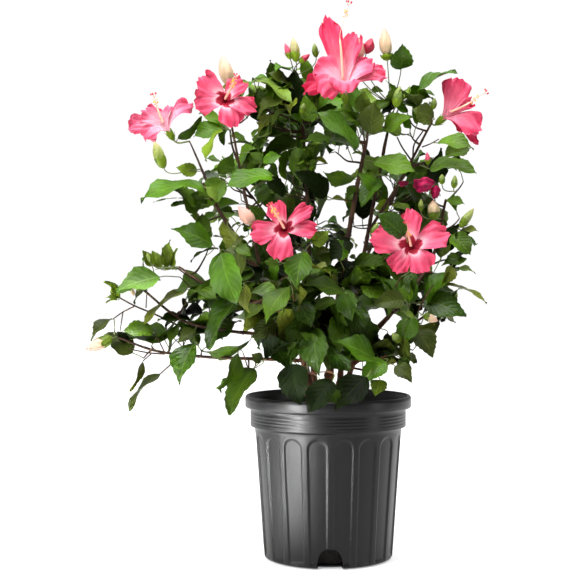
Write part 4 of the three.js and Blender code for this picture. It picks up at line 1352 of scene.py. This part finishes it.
COLUMN_STEPS = 24
per_petal = len(PETAL_U) * len(PETAL_V)
petal_faces = grid_faces(len(PETAL_V), len(PETAL_U))
petal_uv = np.stack(np.broadcast_arrays((PETAL_U[None] + 1) / 2, PETAL_V[:, None]), -1)
rng = np.random.default_rng(PETAL_SEED)
column_curves, cup_places = [], []
for name, (depth, eye, throat, turn_to_eye, column, stamens, petals) in BLOOMS.items():
    petal_c, petal_r, petal_wide, behind, lift, deep = np.array(petals, float).T
    eye_at = place(*eye, depth)
    throat_at = place(throat[0], throat[1], depth + throat[2] * MM)
    axis = unit(eye_at - throat_at)
    tips = place(petal_c, petal_r, depth + behind * MM)
    facing = unit(axis * (1 - turn_to_eye) + np.array([0, -1, 0]) * turn_to_eye)
    width = petal_wide * (depth - EYE[1]) / FOCAL_PIXELS * 1.04
    points = petal_points(throat_at, eye_at, tips, axis, facing, width, lift * MM, rng)
    paler, washed = (np.full(len(tips), value) for value in stamens[-2:])
    tints = {"deep": deep, "paler": paler, "washed": washed}
    bloom = make_piece("petals_" + name, points, [repeated(petal_faces, len(tips), per_petal)], petal_finish,
                       "petal", uv=np.broadcast_to(petal_uv, (len(tips), *petal_uv.shape)),
                       attributes={key: np.repeat(values, per_petal) for key, values in tints.items()})
    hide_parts(name)
    knot_c, knot_r, knot_depth = np.array(column, float).T
    column_curves.append(smooth_path(place(knot_c, knot_r, depth + knot_depth * MM), COLUMN_STEPS))
    cup_places.append((throat_at, axis))

# %% [markdown]
# ## The column of stamens
# The stamens of a hibiscus are joined into one long column that stands out of the eye. Dozens of
# yellow anthers sit on short threads along its outer half, and five red stigmas end it.

# %% Columns, anthers and stigmas
column_paths = np.stack(column_curves)
thick_until, threads_from, threads_to, thread_count, *_ = np.array([bloom[5] for bloom in BLOOMS.values()]).T
share = np.linspace(0, 1, COLUMN_STEPS)
column_radii = (0.4 + smooth((thick_until[:, None] - share) / 0.06) * (0.7 + 0.8 * (1 - share))) * MM
column_finish = speckled_finish("staminal_column", (240, 160, 140), (250, 206, 176), 90.0, 0.5)
make_piece("stamen_columns", *tubes(column_paths, column_radii, 10), column_finish, "petal")

of_column = np.repeat(np.arange(len(column_paths)), thread_count.astype(int))
thread_t = rng.uniform(threads_from[of_column], threads_to[of_column])
thread_root = along_path(column_paths, of_column, thread_t)
first, second = path_frames(column_paths)
turn = np.arange(len(thread_t)) * GOLDEN_TURN
thread_way = spokes(turn, along_path(first, of_column, thread_t), along_path(second, of_column, thread_t))
thread_way += 0.35 * unit(along_path(np.gradient(column_paths, axis=1), of_column, thread_t))
thread_end = thread_root + thread_way * rng.uniform(0.0022, 0.0040, (len(thread_t), 1))
thread_paths = np.stack([thread_root, (thread_root + thread_end) / 2, thread_end], 1)
STYLES = 5
THREAD_RADIUS = 0.28 * MM
tip = column_paths[:, -1]
tip_way = unit(tip - column_paths[:, -3])
style_spokes = spokes(full_turn(STYLES), first[:, -1][:, None], second[:, -1][:, None])
style_way = tip_way[:, None] * 1.2 + 0.75 * style_spokes
style_end = tip[:, None] + style_way * 0.0055
style_paths = np.stack([tip[:, None] + 0 * style_end, tip[:, None] + style_way * 0.0025, style_end], 2)
all_threads = np.concatenate([thread_paths, style_paths.reshape(-1, 3, 3)])
make_piece("stamen_threads", *tubes(all_threads, np.full(all_threads.shape[:2], THREAD_RADIUS), 4),
           column_finish, "petal")

lump, lump_faces = round_lump(4, 7)


def lumps(at, radius):
    """The same small round lump at many places: points and faces."""
    points = at[:, None] + lump * np.broadcast_to(radius, len(at))[:, None, None]
    return points, [repeated(f, len(at), len(lump)) for f in lump_faces]


anther_finish = speckled_finish("anther_pollen", (222, 140, 30), (252, 214, 96), 900.0, 0.75)
anther_radius = 0.95 * MM * rng.uniform(0.8, 1.2, len(thread_end))
make_piece("anthers", *lumps(thread_end, anther_radius), anther_finish, "petal")
stigma_finish = speckled_finish("stigma_velvet", (176, 22, 46), (226, 70, 84), 700.0, 0.7)
make_piece("stigmas", *lumps(style_end.reshape(-1, 3), 1.4 * MM), stigma_finish, "petal")

# %% [markdown]
# ## Buds, calyxes and a spent bloom
# A bud is a pointed oval whose furled petals twist round it. It sits in a cup of five green lobes,
# with a ring of thin bracts below. A spent bloom shrivels into a dark, crumpled ball.

# %% Buds
# Each bud: the column and row of its foot and of its tip, its width, its tint (0 green, 0.33 cream, 0.66
# pink, 1 crimson) and the share of its length that the cup covers.
BUDS = np.array([
    (296, 60, 293, 37, 9, 0.16, 0.42), (290, 58, 285, 43, 6, 0.7, 0.42), (300, 62, 310, 54, 6, 1.0, 0.42),
    (316, 56, 314, 43, 6, 0.0, 0.42), (387, 58, 384, 27, 12, 0.29, 0.2),
    (396, 105, 400, 86, 9, 0.0, 0.42), (433, 108, 435, 98, 6, 0.0, 0.42),
    (434, 217, 433, 200, 12, 0.25, 0.42), (461, 226, 474, 208, 8, 0.07, 0.42),
    (163, 166, 154, 141, 11, 0.1, 0.42), (254, 225, 238, 206, 13, 0.4, 0.2),
    (110, 339, 85, 350, 12, 0.36, 0.42), (132, 289, 134, 296, 4, 0.3, 0),
    (425, 316, 438, 321, 8, 0.3, 0.42), (442, 183, 442, 174, 6, 0.0, 0.42),
    (454, 187, 455, 175, 6, 0.0, 0.42), (399, 341, 392, 333, 8, 0.0, 0.42),
    (421, 210, 421, 199, 5, 0.05, 0.42), (229, 86, 222, 55, 14, 0.3, 0.15),
    (356, 60, 360, 38, 15, 0.42, 0), (366, 54, 372, 38, 11, 0.95, 0), (428, 164, 427, 152, 5, 0.7, 0.42),
    (302, 112, 304, 103, 6, 0.0, 0.42), (372, 236, 378, 222, 6, 0.0, 0.42),
    (150, 262, 147, 252, 4, 0.05, 0)], float)
bud_c, bud_r, bud_tip_c, bud_tip_r, bud_wide, bud_tint, cup_share = BUDS.T
beside_top_bloom = (bud_r < 70) & (bud_c > 320) & (bud_c < 370)
bud_y = np.where(beside_top_bloom, -0.015, front_depth(bud_c, bud_r) - 0.012)
bud_foot = place(bud_c, bud_r, bud_y)
bud_step = place(bud_tip_c, bud_tip_r, bud_y - 0.004) - bud_foot
bud_axis = unit(bud_step)
bud_length = np.linalg.norm(bud_step, axis=1)
bud_radius = bud_wide / 2 * (bud_y - EYE[1]) / FOCAL_PIXELS
BUD_ROWS, BUD_COLUMNS = 18, 20


def around(axis):
    """Two directions square to each axis and to each other."""
    guide = np.where(np.abs(axis[:, 1:2]) < 0.9, [[0, 1.0, 0]], [[1.0, 0, 0]])
    first = unit(np.cross(axis, guide))
    return first, np.cross(axis, first)


def turned_shapes(foot, axis, run, radius):
    """Grids round many axes: foot + run * axis + radius * (cos a * first + sin a * second)."""
    first, second = around(axis)
    ring = spokes(full_turn(radius.shape[-1]), first[:, None], second[:, None])
    return foot[:, None, None] + run[..., None] * axis[:, None, None] + radius[..., None] * ring[:, None]


bud_v = np.linspace(0.02, 0.985, BUD_ROWS)[None, :, None]
bud_turn = full_turn(BUD_COLUMNS)[None, None]
twist = 1 + 0.10 * np.cos(5 * bud_turn - 7 * bud_v + np.arange(len(BUDS))[:, None, None])
profile = np.sin(np.pi * bud_v**0.8) ** 0.85 * twist
bud_v = np.broadcast_to(bud_v, profile.shape)
bud_skin = turned_shapes(bud_foot, bud_axis, bud_v * bud_length[:, None, None],
                         profile * bud_radius[:, None, None])
bud_poles = np.stack([bud_foot, bud_foot + bud_step], 1)
buds = np.concatenate([bud_skin.reshape(len(BUDS), -1, 3), bud_poles], 1)
per_bud = buds.shape[1]
bud_faces = [repeated(f, len(BUDS), per_bud) for f in closed_faces(BUD_ROWS, BUD_COLUMNS)]
bud_height = np.concatenate([bud_v.reshape(len(BUDS), -1), np.tile([0, 1.0], (len(BUDS), 1))], 1)
bud_finish, bud_shader, wire = new_finish("bud", Roughness=0.5)
up_bud = attribute(wire, "height")
furl = noise(wire, texture_place(wire), 260.0, detail=3)
BUD_STOPS = [(0.0, (84, 112, 36)), (0.14, (134, 146, 66)), (0.33, (204, 176, 142)), (0.5, (214, 150, 140)),
             (0.7, (214, 80, 110)), (1.0, (164, 10, 54))]
ramp_at = attribute(wire, "tint") + (furl - 0.5) * 0.16 + up_bud * up_bud * 0.14
feed(bud_shader, "Base Color", ramp(wire, ramp_at, BUD_STOPS))
feed(bud_shader, "Normal", bump(wire, furl, 0.4, 0.001))
make_piece("buds", buds, bud_faces, bud_finish, "petal",
           attributes={"tint": np.repeat(bud_tint, per_bud), "height": bud_height})

# %% Calyx cups, bracts and flower stalks
BLOOM_CUP_LENGTH, BLOOM_CUP_RADIUS, BLOOM_CUP_BELOW = 0.017, 0.0062, 0.009
BUD_CUP_OVER = 1.08
bloom_foot, bloom_axis = (np.stack(v) for v in zip(*cup_places))
cupped = cup_share > 0
cup_axis = np.concatenate([bloom_axis, bud_axis[cupped]])
cup_length = np.concatenate([np.full(len(BLOOMS), BLOOM_CUP_LENGTH), (bud_length * cup_share)[cupped]])
cup_radius = np.concatenate([np.full(len(BLOOMS), BLOOM_CUP_RADIUS), bud_radius[cupped] * BUD_CUP_OVER])
cup_foot = np.concatenate([bloom_foot - bloom_axis * BLOOM_CUP_BELOW, bud_foot[cupped]])
cup_foot = cup_foot - cup_axis * cup_radius[:, None] * 0.4
CUP_ROWS, CUP_SIDES = 9, 20
cup_v = np.linspace(0, 1, CUP_ROWS)[None, :, None]
cup_turn = full_turn(CUP_SIDES)[None, None]
lobe = 0.32 * cup_v**3 * (np.abs(np.cos(2.5 * cup_turn)) - 0.6)
cup_along = (cup_v + lobe) * cup_length[:, None, None]
cup_wide = (0.25 + 0.75 * np.sin(np.pi / 2 * cup_v**0.7)) * (1 + 0.04 * cup_v * np.cos(5 * cup_turn))
cups = turned_shapes(cup_foot, cup_axis, cup_along, cup_wide * cup_radius[:, None, None])
cup_faces = repeated(grid_faces(CUP_ROWS, CUP_SIDES, round_columns=True), len(cups), CUP_ROWS * CUP_SIDES)
calyx_finish = leaf_finish("lime")
cup_uv = np.stack(np.broadcast_arrays(0.3 + 0 * cup_turn + 0 * cups[..., 0], cup_v), -1)
make_piece("calyxes", cups, [cup_faces], calyx_finish, "leaf", uv=cup_uv)

BRACTS = 7
BRACT_ARCH = -0.08
bract_out = spokes(full_turn(BRACTS), *(way[:, None] for way in around(cup_axis)))
bract_way = unit(bract_out * 0.7 + cup_axis[:, None]).reshape(-1, 3)
bract_foot = np.repeat(cup_foot, BRACTS, 0)
bract_size = np.repeat(np.clip(cup_length * 1.6, 0.010, 0.016), BRACTS)
level = np.zeros(len(bract_size))
bracts = leaf_points(bract_foot, bract_way, np.repeat(cup_axis, BRACTS, 0), bract_size, bract_size * 0.14,
                     level + BRACT_ARCH, level, level, teeth=0)
bract_faces = repeated(leaf_faces, len(bracts), leaf_faces.max() + 1)
make_piece("bracts", bracts, [bract_faces], calyx_finish, "leaf",
           uv=np.broadcast_to(leaf_uv, (len(bracts), *leaf_uv.shape)))

stalk_end = np.concatenate([cup_foot, bud_foot[~cupped]])
stalk_axis = np.concatenate([cup_axis, bud_axis[~cupped]])
flower_start = nearest_carrier(stalk_end)
flower_curves = reaching(flower_start, stalk_end + stalk_axis * 0.001, stalk_axis, 0.35)
FLOWER_STEPS = 16
flower_thick = np.where(np.arange(len(stalk_end)) < len(BLOOMS), 1.5, 0.9) * MM
flower_radii = flower_thick[:, None] * np.linspace(1, 0.85, FLOWER_STEPS)
make_piece("flower_stalks", *tubes(bezier(flower_curves, FLOWER_STEPS), flower_radii, 7),
           stalk_finish, "bark")

# %% The spent bloom
SPENT_DEPTH = -0.03
SPENT = np.array([(425, 186, 11, 8), (436, 193, 5, 7), (404, 184, 5, 3)], float)
spent_c, spent_r, spent_half_wide, spent_half_tall = SPENT.T
spent_at = place(spent_c, spent_r, SPENT_DEPTH + 0 * spent_c)
spent_ball, spent_faces = round_lump(26, 40)
CRUMPLES = ((2, 0.2), (5, 0.12), (9, 0.03))
crumple = sum(waves(rng, 6, low, low * 2, *spent_ball.T) * size for low, size in CRUMPLES)
half_size = np.stack([spent_half_wide, spent_half_wide * 0.8, spent_half_tall], -1)
half_size = half_size[:, None] * (SPENT_DEPTH - EYE[1]) / FOCAL_PIXELS
spent = spent_at[:, None] + spent_ball * (1 + crumple)[:, None] * half_size
spent_finish, spent_shader, wire = new_finish("spent_petals", Specular_IOR_Level=0.2, Roughness=0.6)
folds = noise(wire, texture_place(wire, scale=(1, 1, 2.2)), 90.0, detail=3)
feed(spent_shader, "Base Color", folds.between(0.3, 0.7).mixed(srgb(96, 4, 42), srgb(184, 16, 80)))
feed(spent_shader, "Normal", bump(wire, folds, 0.6, 0.003))
make_piece("spent_bloom", spent, [repeated(f, len(SPENT), len(spent_ball)) for f in spent_faces],
           spent_finish, "petal")
arriving = np.array([0.3, 0, 0.9]) + 0 * spent_at
spent_paths = bezier(reaching(nearest_carrier(spent_at), spent_at, arriving), 12)
make_piece("spent_bloom_stalks", *tubes(spent_paths, np.full(spent_paths.shape[:2], 1.1 * MM), 7),
           stalk_finish, "bark")
